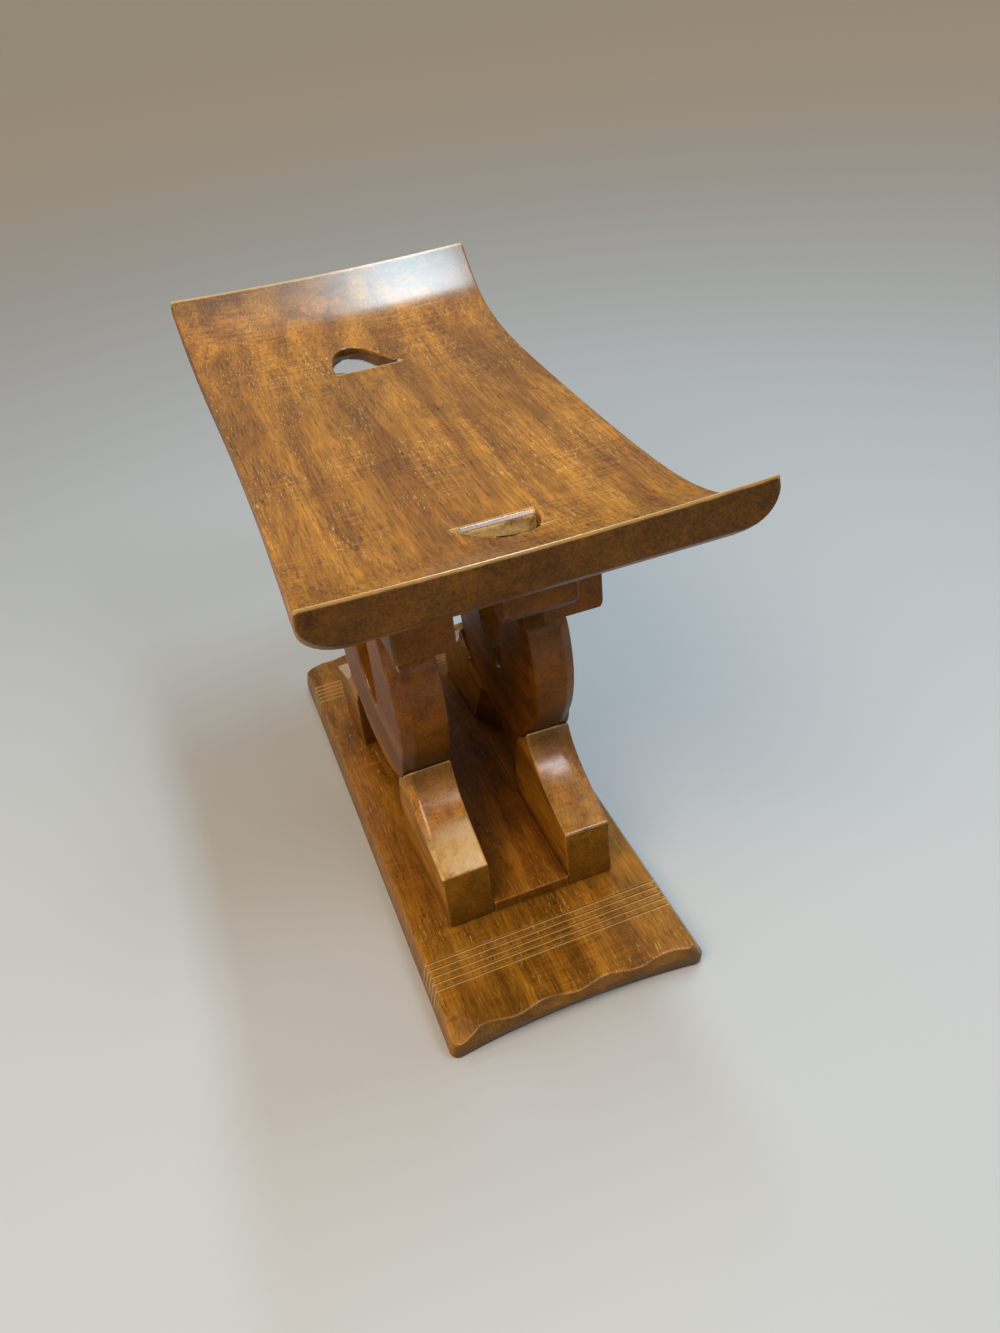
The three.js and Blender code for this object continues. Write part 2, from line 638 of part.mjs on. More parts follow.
// The side view of a head: flat on its arm, then rising in a low curve to its end face.
function headSideShape(end) {
  const under = armTopZ + GAP;
  const shape = new THREE.Shape();
  shape.moveTo(0, under);
  shape.lineTo(end * ARM_OUTER_X, under);
  const handleX = end * (ARM_OUTER_X + PANEL_HALF_LENGTH) / 2;
  shape.quadraticCurveTo(handleX, headFrontZ, end * PANEL_HALF_LENGTH, headFrontZ);
  shape.lineTo(end * PANEL_HALF_LENGTH, seatHighest);
  shape.lineTo(0, seatHighest);
  return shape;
}

// The end view of a head: it overhangs the panel on both sides, rounded below on the outer one.
function headEndShape(side) {
  const inner = -side * HEAD_INNER_OVERHANG;
  const flush = side * PANEL_THICKNESS;
  const outer = side * (PANEL_THICKNESS + HEAD_OUTER_OVERHANG);
  const shape = new THREE.Shape();
  shape.moveTo(inner, armTopZ);
  shape.lineTo(flush, armTopZ);
  shape.lineTo(flush, headFrontZ);
  shape.quadraticCurveTo(outer, headFrontZ, outer, headFrontZ + HEAD_ROUNDING);
  shape.lineTo(outer, seatHighest);
  shape.lineTo(inner, seatHighest);
  return shape;
}

function makeHead(end, panel) {
  const side = panel.userData.side;
  const outer = side * (PANEL_THICKNESS + HEAD_OUTER_OVERHANG);
  const sideView = slab(headSideShape(end), -side * HEAD_INNER_OVERHANG, outer);
  const endView = beam(headEndShape(side), -PANEL_HALF_LENGTH, PANEL_HALF_LENGTH);
  const shadow = seatShadow().applyMatrix4(panel.matrix.clone().invert());
  let solid = solidFrom(sideView).intersect(solidFrom(endView));
  solid = solid.subtract(solidFrom(forkCutter(side))).subtract(solidFrom(shadow));
  solid = solid.add(solidFrom(seatTenon(end, side, 0)));
  return geometryFrom(solid.subtract(solidFrom(armTenon(end, side, GAP))));
}

function wood(colour, roughness) {
  return new THREE.MeshStandardMaterial({ color: colour, roughness, metalness: 0 });
}

const seatWood = () => wood('#9c6228', 0.32);
const baseWood = () => wood('#8f5620', 0.38);
const panelWood = () => wood('#7f4a1b', 0.36);
const shadedWood = () => wood('#5f3b17', 0.5);

function mesh(name, geometry, material) {
  const piece = new THREE.Mesh(geometry, material);
  piece.name = name;
  return piece;
}

function makeStool() {
  const stool = new THREE.Group();
  const panels = [panelFrame(LEFT), panelFrame(RIGHT)];
  const endNames = new Map([[NEAR, 'near'], [FAR, 'far']]);
  const sideNames = new Map([[LEFT, 'left'], [RIGHT, 'right']]);
  stool.add(mesh('seat', makeSeat(panels), seatWood()));
  stool.add(mesh('base_board', makeBaseBoard(panels), baseWood()));
  stool.add(mesh('channel_floor', makeChannelFloor(), shadedWood()));
  stool.add(mesh('grip_batten', makeBatten(), panelWood()));
  for (const panel of panels) {
    const side = panel.userData.side;
    const sideName = sideNames.get(side);
    panel.add(mesh(`crescent_${sideName}`, makeCrescent(side), panelWood()));
    panel.add(mesh(`arch_web_${sideName}`, makeWeb(panel), shadedWood()));
    for (const end of [NEAR, FAR]) {
      const place = `${endNames.get(end)}_${sideName}`;
      panel.add(mesh(`foot_${place}`, makeFoot(end, panel), baseWood()));
      panel.add(mesh(`head_${place}`, makeHead(end, panel), panelWood()));
    }
    stool.add(panel);
  }
  return stool;
}

export default makeStool();
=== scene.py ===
"""A carved hardwood stool: a swept seat board on two crescent panels, on a heavy base board.

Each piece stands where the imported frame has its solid. This script makes the carved and worn
surfaces, the waxed wood and a plain studio. Metres, +Z up. X runs along the seat and the grain
of the wood, the near end is at +X and the right side is at +Y.
"""

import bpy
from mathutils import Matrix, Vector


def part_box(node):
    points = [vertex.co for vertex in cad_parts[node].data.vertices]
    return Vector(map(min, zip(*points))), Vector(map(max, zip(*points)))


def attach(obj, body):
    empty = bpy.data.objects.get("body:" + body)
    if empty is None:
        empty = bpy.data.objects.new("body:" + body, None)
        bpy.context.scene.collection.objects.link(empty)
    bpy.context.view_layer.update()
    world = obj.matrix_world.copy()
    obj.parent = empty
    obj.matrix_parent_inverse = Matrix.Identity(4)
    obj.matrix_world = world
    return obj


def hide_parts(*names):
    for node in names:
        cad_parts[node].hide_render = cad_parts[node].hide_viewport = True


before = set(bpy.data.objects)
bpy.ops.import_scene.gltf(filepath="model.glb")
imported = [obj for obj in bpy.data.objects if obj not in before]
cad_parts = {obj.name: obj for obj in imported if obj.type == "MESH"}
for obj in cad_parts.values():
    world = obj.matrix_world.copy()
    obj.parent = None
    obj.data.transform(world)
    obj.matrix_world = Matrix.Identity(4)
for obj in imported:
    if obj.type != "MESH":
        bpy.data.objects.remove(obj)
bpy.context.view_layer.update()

import math

import bmesh
import bpy
from mathutils import Matrix, Vector

# The photograph's camera
CAMERA_PLACE = (0.7471, -0.1782, 0.7374)
CAMERA_YAW = math.radians(73.27)
CAMERA_PITCH = math.radians(36.69)
CAMERA_ROLL = math.radians(-6.91)
CAMERA_FOCAL_PIXELS = 1037.8
PHOTO_HEIGHT_PIXELS = 1333
SENSOR_LONG_SIDE_MM = 36

NEAR, FAR = 1, -1
RIGHT, LEFT = 1, -1
END_NAMES = {NEAR: "near", FAR: "far"}
SIDE_NAMES = {LEFT: "left", RIGHT: "right"}

# Sizes that the frame gives
seat_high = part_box("seat")[1]
base_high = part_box("base_board")[1]
floor_low, floor_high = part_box("channel_floor")
batten_low, batten_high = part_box("grip_batten")
SEAT_HALF_LENGTH = seat_high.x
BASE_HALF_LENGTH = base_high.x
BASE_HALF_WIDTH = base_high.y
BASE_TOP = base_high.z

GAP = 0.0003  # between pieces that touch
OVERRUN = 0.004  # how far a cutter reaches past what it cuts

# Seat board
SEAT_NEAR_WIDTH = 0.293
SEAT_FAR_WIDTH = 0.288
SEAT_MIDDLE_WIDTH = 0.276
SEAT_MIDDLE_TOP = 0.403
SEAT_END_RISE = 0.053
SEAT_FAR_LIFT = 0.0125
SEAT_MIDDLE_THICKNESS = 0.017
SEAT_END_THICKNESS = 0.031
SEAT_DISH = 0.003
SEAT_EDGE_HEIGHT = 0.009
SEAT_EDGE_RADII = {LEFT: 0.029, RIGHT: 0.023}
SEAT_EDGE_BULGE = 0.0013
SEAT_RISE_POWER = 5.8
SEAT_THICKENING_POWER = 3
SEAT_STATIONS = 84
SEAT_TOP_STEPS = 18
SEAT_ROUND_STEPS = 8
SEAT_ROUNDING = 0.0016

# Hand holes
HOLE_FLAT_X = 0.157
HOLE_MIDDLE_Y = {NEAR: 0.007, FAR: 0.005}
HOLE_WIDTH = 0.062
HOLE_DEPTHS = {NEAR: 0.024, FAR: 0.037}
HOLE_PEAK_OFFSET = 0.010
HOLE_TAIL_SHARES = (0.35, 0.5)
HOLE_SLANT = 0.026  # how far the curved wall slants out through the seat's thin middle
HOLE_SLOPE = HOLE_SLANT / SEAT_MIDDLE_THICKNESS
HOLE_LIP = 0.0035

# Base board
BASE_EDGE_HEIGHT = 0.011
BASE_BEVELS = {LEFT: 0.0045, RIGHT: 0.009}
BASE_CORNER_RADIUS = 0.009
BASE_TOP_HOLLOW = 0.002
BASE_BOTTOM_HOLLOW = 0.009
BASE_END_UNDERCUT = 0.0035
BASE_END_BEVEL = 0.010
BASE_WAVE_DEPTH = 0.005
WAVE_COUNT = 4
CORNER_WEAR_LENGTH = 0.045
CORNER_WEAR_DEPTH = 0.011
CORNER_WEAR_WIDTHS = {LEFT: 0.030, RIGHT: 0.012}
BASE_ROUNDING = 0.0018
BASE_END_STEPS = 72

# Cut lines across each end of the base board
LINE_FIRST_X = 0.195
LINE_SPACING = 0.007
LINE_WIDTH = 0.002
LINE_DEPTH = 0.0014
LINE_COUNT = 5

# Side panels, in their own frame: y = 0 is the inner face
PANEL_THICKNESS = 0.041
PANEL_INNER_Y = 0.035
PANEL_SPREADS = {LEFT: 0.007, RIGHT: 0.005}
PANEL_HALF_LENGTH = 0.168

# Feet
FOOT_END_HEIGHT = 0.061
FOOT_NECK_X = 0.091
FOOT_INNER_TOP_X = 0.066
FOOT_INNER_X = {NEAR: 0.046, FAR: 0.100}
FOOT_TOP_SHARES = ((0.64, 0.2), (0.1, 0.42))
FOOT_INNER_SHARE = 0.7
FOOT_CHAMFER_DROP = {LEFT: 0.006, RIGHT: 0.0055}
FOOT_CHAMFER_WIDTH = {LEFT: 0.006, RIGHT: 0.014}

# Crescents
CRESCENT_RADIUS = 0.117
CRESCENT_CENTRE_Z = 0.221
CRESCENT_TURN = math.radians(18)
CRESCENT_CHAMFER_WIDTH = 0.010
CRESCENT_CHAMFER_DEPTH = 0.007
INNER_CHAMFER_WIDTH = 0.004
INNER_CHAMFER_DEPTH = {LEFT: 0.001, RIGHT: 0.010}
CHAMFER_START_Z = 0.140
CHAMFER_FULL_Z = 0.160
ARM_TOP_Z = 0.300
ARM_OUTER_X = 0.104
ARM_WAIST_X = 0.076
ARM_WAIST_SHARES = (0.3, 0.72)
FORK_TOP_X = 0.050
FORK_BOTTOM_X = 0.018
FORK_BOTTOM_Z = 0.175
FORK_WAIST_X = 0.040
FORK_WAIST_SHARE = 0.36

# Webs between the feet, and the hollow on the inner side of each
WEB_OUTER_Y = 0.025
WEB_HOLLOW_DEPTH = 0.016
WEB_HOLLOW_NEAR_X = 0.071
WEB_HOLLOW_DEEP_X = 0.048
WEB_HOLLOW_FAR_X = 0.070
WEB_HOLLOW_LEAN = 0.034

# Heads
HEAD_FRONT_Z = 0.312
HEAD_INNER_OVERHANG = 0.002
HEAD_OUTER_OVERHANG = 0.004
HEAD_ROUNDING = 0.008

# Grip batten
BATTEN_BEVEL = 0.008
BATTEN_STEPS = 6

# Fineness of curves, and the rounding of worn edges
CURVE_STEPS = 28
NECK_STEPS = 8
HEAD_STEPS = 12
HEAD_ROUND_STEPS = 8
EDGE_ROUNDING = 0.002
FLOOR_ROUNDING = 0.0006
ROUNDING_SEGMENTS = 3
SHARP_ANGLE = math.radians(32)
BASE_SHARP_ANGLE = math.radians(24)
CRESCENT_SHARP_ANGLE = math.radians(22)
FOOT_SHARP_ANGLE = math.radians(18)
SHADING_ANGLE = math.radians(34)
CIRCLE_START = 0.1

# Where the marks of age, the painted shade and the painted highlights lie
EDGE_REACH = 0.0025
CREVICE_REACH = 0.05
AGE_SAMPLES = 6
HOLES_WITHIN_X = 0.2  # the hand holes lie nearer to the middle than this
# A painted sheen on the foot tops towards their ends, stronger on the left foot
SHEEN_FROM = 0.112
SHEEN_FULL = 0.152
SHEEN_MIDDLE = 0.02
SHEEN_RIGHT_SHARE = 0.3
# The pale floors of the cut lines are painted highlights
LINE_DRIFT = 0.1  # in line spacings: the pale floor of a cut line lies a little outwards
LINE_PALE_HALF = 0.08
LINE_FADED_HALF = 0.2

# Wax and tool marks
SPECULAR_LEVEL = 0.12
WAX_IOR = 1.65
WAX_ON_SIDES = 0.05  # share of the wax that faces other than the upper ones keep
ROUGHNESS_SPREAD = 0.12
TOOL_MARKS = {"scale": (22, 40, 40), "place": (2, 2, 2), "detail": 2, "roughness": 0.5}
RELIEF_STRENGTH = 0.4
RELIEF_HEIGHT = 0.00025

# Studio
FLOOR_HALF_SIZE = 40.0
FLOOR_ROUGHNESS = 0.9
FLOOR_PAINTED_LIGHT_FADE = (0.6, 5.0)
SKY_COLOUR = (1.0, 0.98, 0.95, 1)
SKY_LOW = 0.08
SKY_HIGH = 0.42
SKY_FULL_HEIGHT = 0.9
WALL_STRENGTH = 0.45
LAMP_AIM = (0, 0, 0.25)
STRIP_PLACE = (-0.1, 0.42, 2.0)
STRIP_SIZE = (1.0, 0.19)
STRIP_WATTS = 13
STRIP_COLOUR = (0.64, 0.88, 1.0)
WINDOW_PLACE = (1.05, 0.65, 1.85)
WINDOW_SIZE = (0.6, 0.6)
WINDOW_WATTS = 10
WINDOW_COLOUR = (0.82, 0.9, 1.0)
WARM_PLACE = (0.85, -0.85, 1.65)
WARM_SIZE = (1.0, 1.0)
WARM_WATTS = 19
WARM_COLOUR = (1.0, 0.76, 0.48)
NODE_SPACING = 180


# Studio: camera, lamps and sky

def make_camera():
    data = bpy.data.cameras.new("camera")
    data.sensor_fit = "AUTO"
    data.sensor_width = SENSOR_LONG_SIDE_MM
    data.lens = CAMERA_FOCAL_PIXELS * SENSOR_LONG_SIDE_MM / PHOTO_HEIGHT_PIXELS
    camera = bpy.data.objects.new("camera", data)
    bpy.context.scene.collection.objects.link(camera)
    yaw, pitch, roll = CAMERA_YAW, CAMERA_PITCH, CAMERA_ROLL
    back = Vector((math.sin(yaw) * math.cos(pitch), -math.cos(yaw) * math.cos(pitch), math.sin(pitch)))
    level = Vector((math.cos(yaw), math.sin(yaw), 0))
    above = back.cross(level)
    right = math.cos(roll) * level + math.sin(roll) * above
    up = -math.sin(roll) * level + math.cos(roll) * above
    turn = Matrix((right, up, back)).transposed().to_4x4()
    camera.matrix_world = Matrix.Translation(CAMERA_PLACE) @ turn
    bpy.context.scene.camera = camera


def make_lamp(name, place, aim, size, watts, colour):
    data = bpy.data.lights.new(name, "AREA")
    data.shape = "RECTANGLE"
    data.size, data.size_y = size
    data.energy = watts
    data.color = colour
    lamp = bpy.data.objects.new(name, data)
    bpy.context.scene.collection.objects.link(lamp)
    turn = (Vector(aim) - Vector(place)).to_track_quat("-Z", "Y")
    lamp.matrix_world = Matrix.Translation(place) @ turn.to_matrix().to_4x4()


def make_world():
    """A soft sky, bright above and dim towards the horizon. The camera itself sees a plain pale wall."""
    world = bpy.data.worlds.new("studio")
    bpy.context.scene.world = world
    world.use_nodes = True
    sheet = Sheet(world.node_tree)
    way = sheet.add("ShaderNodeSeparateXYZ")
    sheet.feed(way, Vector=sheet.add("ShaderNodeTexCoord").outputs["Generated"])
    height = sheet.ramp(way.outputs["Z"], 0.0, SKY_FULL_HEIGHT)
    strength = sheet.math("MULTIPLY_ADD", height, SKY_HIGH - SKY_LOW, SKY_LOW)
    seen = sheet.add("ShaderNodeLightPath").outputs["Is Camera Ray"]
    strength = sheet.math("MAXIMUM", strength, sheet.math("MULTIPLY", seen, WALL_STRENGTH))
    sheet.feed(sheet.nodes["Background"], Color=SKY_COLOUR, Strength=strength)


# Node helpers

class Sheet:
    """Places shader nodes and joins them up, so that a material reads as a list of steps."""

    def __init__(self, tree):
        self.tree = tree
        self.nodes = tree.nodes
        self.column = 0

    def add(self, kind, **settings):
        node = self.nodes.new(kind)
        node.location = (self.column * NODE_SPACING, 0)
        self.column += 1
        for name, value in settings.items():
            setattr(node, name, value)
        return node

    def feed(self, node, **inputs):
        """An input's name may have an underscore for each space."""
        names = [name if name in node.inputs else name.replace("_", " ") for name in inputs]
        self.join([node.inputs[name] for name in names], inputs.values())
        return node

    def noise(self, vector, scale, place=(0, 0, 0), detail=2, roughness=0.5, distortion=0.0):
        """Soft noise. The scale is in features to a metre, so a low one draws it out along that axis."""
        spread = self.add("ShaderNodeMapping")
        self.feed(spread, Vector=vector, Scale=scale, Location=place)
        node = self.add("ShaderNodeTexNoise")
        self.feed(node, Vector=spread.outputs["Vector"], Scale=1.0)
        self.feed(node, Detail=detail, Roughness=roughness, Distortion=distortion)
        return node.outputs["Fac"]

    def join(self, sockets, values):
        for socket, value in zip(sockets, values):
            if isinstance(value, bpy.types.NodeSocket):
                self.tree.links.new(value, socket)
            else:
                socket.default_value = value

    def math(self, operation, *values):
        node = self.add("ShaderNodeMath", operation=operation)
        self.join(node.inputs, values)
        return node.outputs[0]

    def ramp(self, value, low, high):
        node = self.add("ShaderNodeMapRange", interpolation_type="SMOOTHSTEP", clamp=True)
        self.feed(node, Value=value, From_Min=low, From_Max=high)
        return node.outputs["Result"]

    def mix(self, share, first, second):
        """A colour between two. The node's colour sockets come after those for numbers and vectors."""
        node = self.add("ShaderNodeMix", data_type="RGBA")
        self.join([node.inputs[place] for place in (0, 6, 7)], (share, first, second))
        return node.outputs[2]


def new_group(name, inputs, outputs):
    tree = bpy.data.node_groups.new(name, "ShaderNodeTree")
    for label, kind in inputs:
        tree.interface.new_socket(label, in_out="INPUT", socket_type=kind)
    for label, kind in outputs:
        tree.interface.new_socket(label, in_out="OUTPUT", socket_type=kind)
    sheet = Sheet(tree)
    return tree, sheet, sheet.add("NodeGroupInput"), sheet.add("NodeGroupOutput")


# Shared effects: the figure of the wood, the marks of its age, and painted shade and highlights

# Each noise in the wood: its scale along and across the grain, an offset, and its fineness
NOISES = {
    "streaks": {"scale": (3.2, 34, 34), "detail": 5, "roughness": 0.6, "distortion": 0.8},
    "bands": {"scale": (1.1, 13, 13), "place": (3, 1, 7), "distortion": 0.6},
    "mottle": {
        "scale": (20, 34, 34), "place": (1, 5, 2), "detail": 5, "roughness": 0.65, "distortion": 0.5,
    },
    "fibres": {"scale": (30, 460, 460), "detail": 4, "roughness": 0.7, "distortion": 0.3},
    "ripple": {
        "scale": (430, 42, 60), "place": (4, 4, 8), "detail": 3, "roughness": 0.6, "distortion": 0.5,
    },
    "ripple_patches": {"scale": (9, 15, 15), "place": (9, 7, 1)},
    "dashes": {"scale": (140, 900, 900), "place": (2, 9, 4), "distortion": 0.3},
    "dash_patches": {"scale": (14, 26, 26), "place": (6, 2, 3), "detail": 3, "roughness": 0.6},
    "pores": {"scale": (70, 620, 620), "place": (8, 3, 5)},
    "pits": {"scale": (50, 90, 90), "place": (7, 2, 9), "detail": 3, "roughness": 0.6},
}
# The noise's values between which each mark goes from none to full
LIMITS = {
    "mottle": (0.32, 0.68), "fibres": (0.34, 0.66),
    "ripple": (0.35, 0.65), "ripple_patches": (0.42, 0.6),
    "dashes": (0.6, 0.7), "dash_patches": (0.4, 0.62),
    "pores": (0.6, 0.7), "pits": (0.69, 0.75),
}
STREAK_SHARE = 0.6  # of the broad figure, the rest of which is bands
BROAD_LIMITS = (0.4, 0.6)


def make_figure_group():
    """Marks of one block of hardwood, with its grain along X. Each is a mask from 0 to 1."""
    labels = ("Streaks", "Mottle", "Fibres", "Ripple", "Flecks", "Pores", "Pits")
    tree, sheet, given, out = new_group(
        "wood_figure",
        [("Position", "NodeSocketVector")],
        [(label, "NodeSocketFloat") for label in labels],
    )
    noises = {name: sheet.noise(given.outputs["Position"], **values) for name, values in NOISES.items()}
    marks = {name: sheet.ramp(noises[name], *limits) for name, limits in LIMITS.items()}
    bands = sheet.math("MULTIPLY", noises["bands"], 1 - STREAK_SHARE)
    broad = sheet.math("MULTIPLY_ADD", noises["streaks"], STREAK_SHARE, bands)
    ripple = sheet.math("SUBTRACT", marks["ripple"], 0.5)
    sheet.feed(
        out,
        Streaks=sheet.ramp(broad, *BROAD_LIMITS),
        Mottle=marks["mottle"],
        Fibres=marks["fibres"],
        Ripple=sheet.math("MULTIPLY_ADD", ripple, marks["ripple_patches"], 0.5),
        Flecks=sheet.math("MULTIPLY", marks["dashes"], marks["dash_patches"]),
        Pores=marks["pores"],
        Pits=marks["pits"],
    )
    return tree


BROKEN = {"scale": (60, 60, 60), "place": (5, 8, 1), "detail": 4, "roughness": 0.65}
PATCH_LIMITS = (0.25, 0.6)
EDGE_SPREAD = 0.5
EDGE_LIMITS = (0.17, 0.45)
# Painted shade: darker in crevices and on faces that look down
SHADE_SPREAD = 0.25
SHADE_LIMITS = (0.3, 0.95)
UPWARD_LIMITS = (0.0, 0.6)
DOWNWARD_LIMITS = (0.0, -0.7)
HOLE_WALL_LIMITS = (0.8, 0.9)
END_GRAIN_LIMITS = (0.5, 0.95)


def line_highlight_mask(sheet, along):
    """Painted highlights on the floors of the cut lines, found by their distance from the middle of the
    board.
    """
    count = sheet.math("MULTIPLY_ADD", along, 1 / LINE_SPACING, -LINE_FIRST_X / LINE_SPACING)
    nearest = sheet.math("MINIMUM", sheet.math("ROUND", count), LINE_COUNT - 1.0)
    nearest = sheet.math("MAXIMUM", nearest, 0.0)
    offset = sheet.math("SUBTRACT", sheet.math("SUBTRACT", count, nearest), LINE_DRIFT)
    apart = sheet.math("ABSOLUTE", offset)
    return sheet.math("SUBTRACT", 1.0, sheet.ramp(apart, LINE_PALE_HALF, LINE_FADED_HALF))


def make_wear_and_light_group():
    """Masks of edges, worn and painted with highlights, of painted shade in crevices and under things, of
    end grain, of faces that look up, of hole walls and cut lines painted as lit, and of a painted sheen on
    the foot tops.
    """
    labels = ("Edges", "Crevices", "End Grain", "Upward", "Hole Walls", "Lines", "Tread")
    tree, sheet, given, out = new_group(
        "wood_wear_and_light",
        [("Position", "NodeSocketVector"), ("Facing", "NodeSocketVector")],
        [(label, "NodeSocketFloat") for label in labels],
    )
    inside = sheet.add("ShaderNodeAmbientOcclusion", inside=True, only_local=True, samples=AGE_SAMPLES)
    sheet.feed(inside, Distance=EDGE_REACH)
    outside = sheet.add("ShaderNodeAmbientOcclusion", samples=AGE_SAMPLES)
    sheet.feed(outside, Distance=CREVICE_REACH)
    facing = sheet.feed(sheet.add("ShaderNodeSeparateXYZ"), Vector=given.outputs["Facing"])
    spot = sheet.feed(sheet.add("ShaderNodeSeparateXYZ"), Vector=given.outputs["Position"])
    along = sheet.math("ABSOLUTE", spot.outputs["X"])
    broken = sheet.noise(given.outputs["Position"], **BROKEN)
    patches = sheet.ramp(broken, *PATCH_LIMITS)
    # Edges: pale wear, painted stronger as highlights on ridges and bevels
    uneven = sheet.math("MULTIPLY_ADD", broken, EDGE_SPREAD, 1 - EDGE_SPREAD / 2)
    # Painted shade: darker where the surroundings close in, and on faces that look down
    shut = sheet.math("SUBTRACT", 1.0, outside.outputs["AO"])
    crevice_shade = sheet.ramp(sheet.math("MULTIPLY_ADD", broken, SHADE_SPREAD, shut), *SHADE_LIMITS)
    below = sheet.ramp(facing.outputs["Z"], *DOWNWARD_LIMITS)
    upward = sheet.ramp(facing.outputs["Z"], *UPWARD_LIMITS)
    # A painted sheen on upward faces near the ends, stronger on the left
    left_half = sheet.ramp(spot.outputs["Y"], SHEEN_MIDDLE, -SHEEN_MIDDLE)
    sheen = sheet.math("MULTIPLY_ADD", left_half, 1 - SHEEN_RIGHT_SHARE, SHEEN_RIGHT_SHARE)
    sheen = sheet.math("MULTIPLY", sheen, sheet.ramp(along, SHEEN_FROM, SHEEN_FULL))
    sheen = sheet.math("MULTIPLY", sheen, patches)
    # Hole walls that face the seat's ends are painted pale, as lit
    outward = sheet.math("MULTIPLY", facing.outputs["X"], sheet.math("SIGN", spot.outputs["X"]))
    steep = sheet.math("MULTIPLY", sheet.ramp(outward, *HOLE_WALL_LIMITS), patches)
    sheet.feed(
        out,
        Edges=sheet.ramp(sheet.math("SUBTRACT", uneven, inside.outputs["AO"]), *EDGE_LIMITS),
        Crevices=sheet.math("MAXIMUM", crevice_shade, below),
        End_Grain=sheet.ramp(sheet.math("ABSOLUTE", facing.outputs["X"]), *END_GRAIN_LIMITS),
        Upward=upward,
        Tread=sheet.math("MULTIPLY", sheen, upward),
        Hole_Walls=sheet.math("MULTIPLY", steep, sheet.math("LESS_THAN", along, HOLES_WITHIN_X)),
        Lines=line_highlight_mask(sheet, along),
    )
    return tree


def wood_colour(sheet, grain, worn, look):
    """The figure of the wood first, then the pale marks, some of them painted highlights and sheen, and
    painted shade over all.
    """
    def marked(colour, mask, amount, tint):
        return sheet.mix(sheet.math("MULTIPLY", mask, amount), colour, tint)

    colour = sheet.mix(grain["Streaks"], look["dark"], look["light"])
    colour = marked(colour, worn["End Grain"], look["End Grain"], look["end"])
    tone = 1 - sum(look["tones"].values()) / 2
    for label, amount in look["tones"].items():
        tone = sheet.math("MULTIPLY_ADD", grain[label], amount, tone)
    shaded = sheet.add("ShaderNodeVectorMath", operation="SCALE")
    sheet.feed(shaded, Vector=colour, Scale=tone)
    side_grain = sheet.math("SUBTRACT", 1.0, worn["End Grain"])
    flecks = sheet.math("MULTIPLY", grain["Flecks"], side_grain)
    colour = marked(shaded.outputs["Vector"], flecks, look["Flecks"], look["pale"])
    for label in ("Pores", "Pits"):
        colour = marked(colour, grain[label], look[label], look["dirt_and_shade"])
    # Pale edge wear with painted highlights, hole walls and cut lines painted as lit, and a painted sheen
    for label in ("Edges", "Hole Walls", "Lines", "Tread"):
        colour = marked(colour, worn[label], look[label], look["pale"])
    # Painted shade over all, in crevices and under faces that look down
    return marked(colour, worn["Crevices"], look["Crevices"], look["dirt_and_shade"])


def wood_relief(sheet, place, grain, look):
    """Raised fibres, sunk pores and the soft waves that carving tools leave."""
    waves = sheet.noise(place, **TOOL_MARKS)
    relief = sheet.math("SUBTRACT", grain["Fibres"], grain["Pores"])
    height = sheet.math("MULTIPLY_ADD", waves, look["carving"], relief)
    bump = sheet.add("ShaderNodeBump")
    sheet.feed(bump, Strength=RELIEF_STRENGTH, Distance=RELIEF_HEIGHT, Height=height)
    return bump.outputs["Normal"]


def wood_material(name, look):
    """Waxed wood. A look holds its colours and how strongly each mark shows."""
    material = bpy.data.materials.new(name)
    material.use_nodes = True
    sheet = Sheet(material.node_tree)
    shader = sheet.nodes["Principled BSDF"]
    space = sheet.add("ShaderNodeTexCoord").outputs
    grain = sheet.feed(sheet.add("ShaderNodeGroup", node_tree=figure), Position=space["Object"]).outputs
    # These masks hold wear, and also painted shade and painted highlights
    worn = sheet.add("ShaderNodeGroup", node_tree=wear_and_light)
    worn = sheet.feed(worn, Position=space["Object"], Facing=space["Normal"]).outputs
    on_sides = look["coat"] * WAX_ON_SIDES
    sheet.feed(
        shader,
        Base_Color=wood_colour(sheet, grain, worn, look),
        Roughness=sheet.math("MULTIPLY_ADD", grain["Mottle"], ROUGHNESS_SPREAD, look["roughness"]),
        Normal=wood_relief(sheet, space["Object"], grain, look),
        Coat_Weight=sheet.math("MULTIPLY_ADD", worn["Upward"], look["coat"] - on_sides, on_sides),
    )
    shader.inputs["Specular IOR Level"].default_value = SPECULAR_LEVEL
    shader.inputs["Coat IOR"].default_value = WAX_IOR
    shader.inputs["Coat Roughness"].default_value = look["coat_roughness"]
    return material


def rgb(red, green, blue):
    """An sRGB colour, 0 to 255, as the linear colour that a shader takes."""
    def linear(value):
        share = value / 255
        return share / 12.92 if share <= 0.04045 else ((share + 0.055) / 1.055) ** 2.4
    return (linear(red), linear(green), linear(blue), 1)


# The share of each mark in a wood, from none to full, is kept under the mark's name
UNMARKED = {"Hole Walls": 0.0, "Lines": 0.0, "Tread": 0.0}
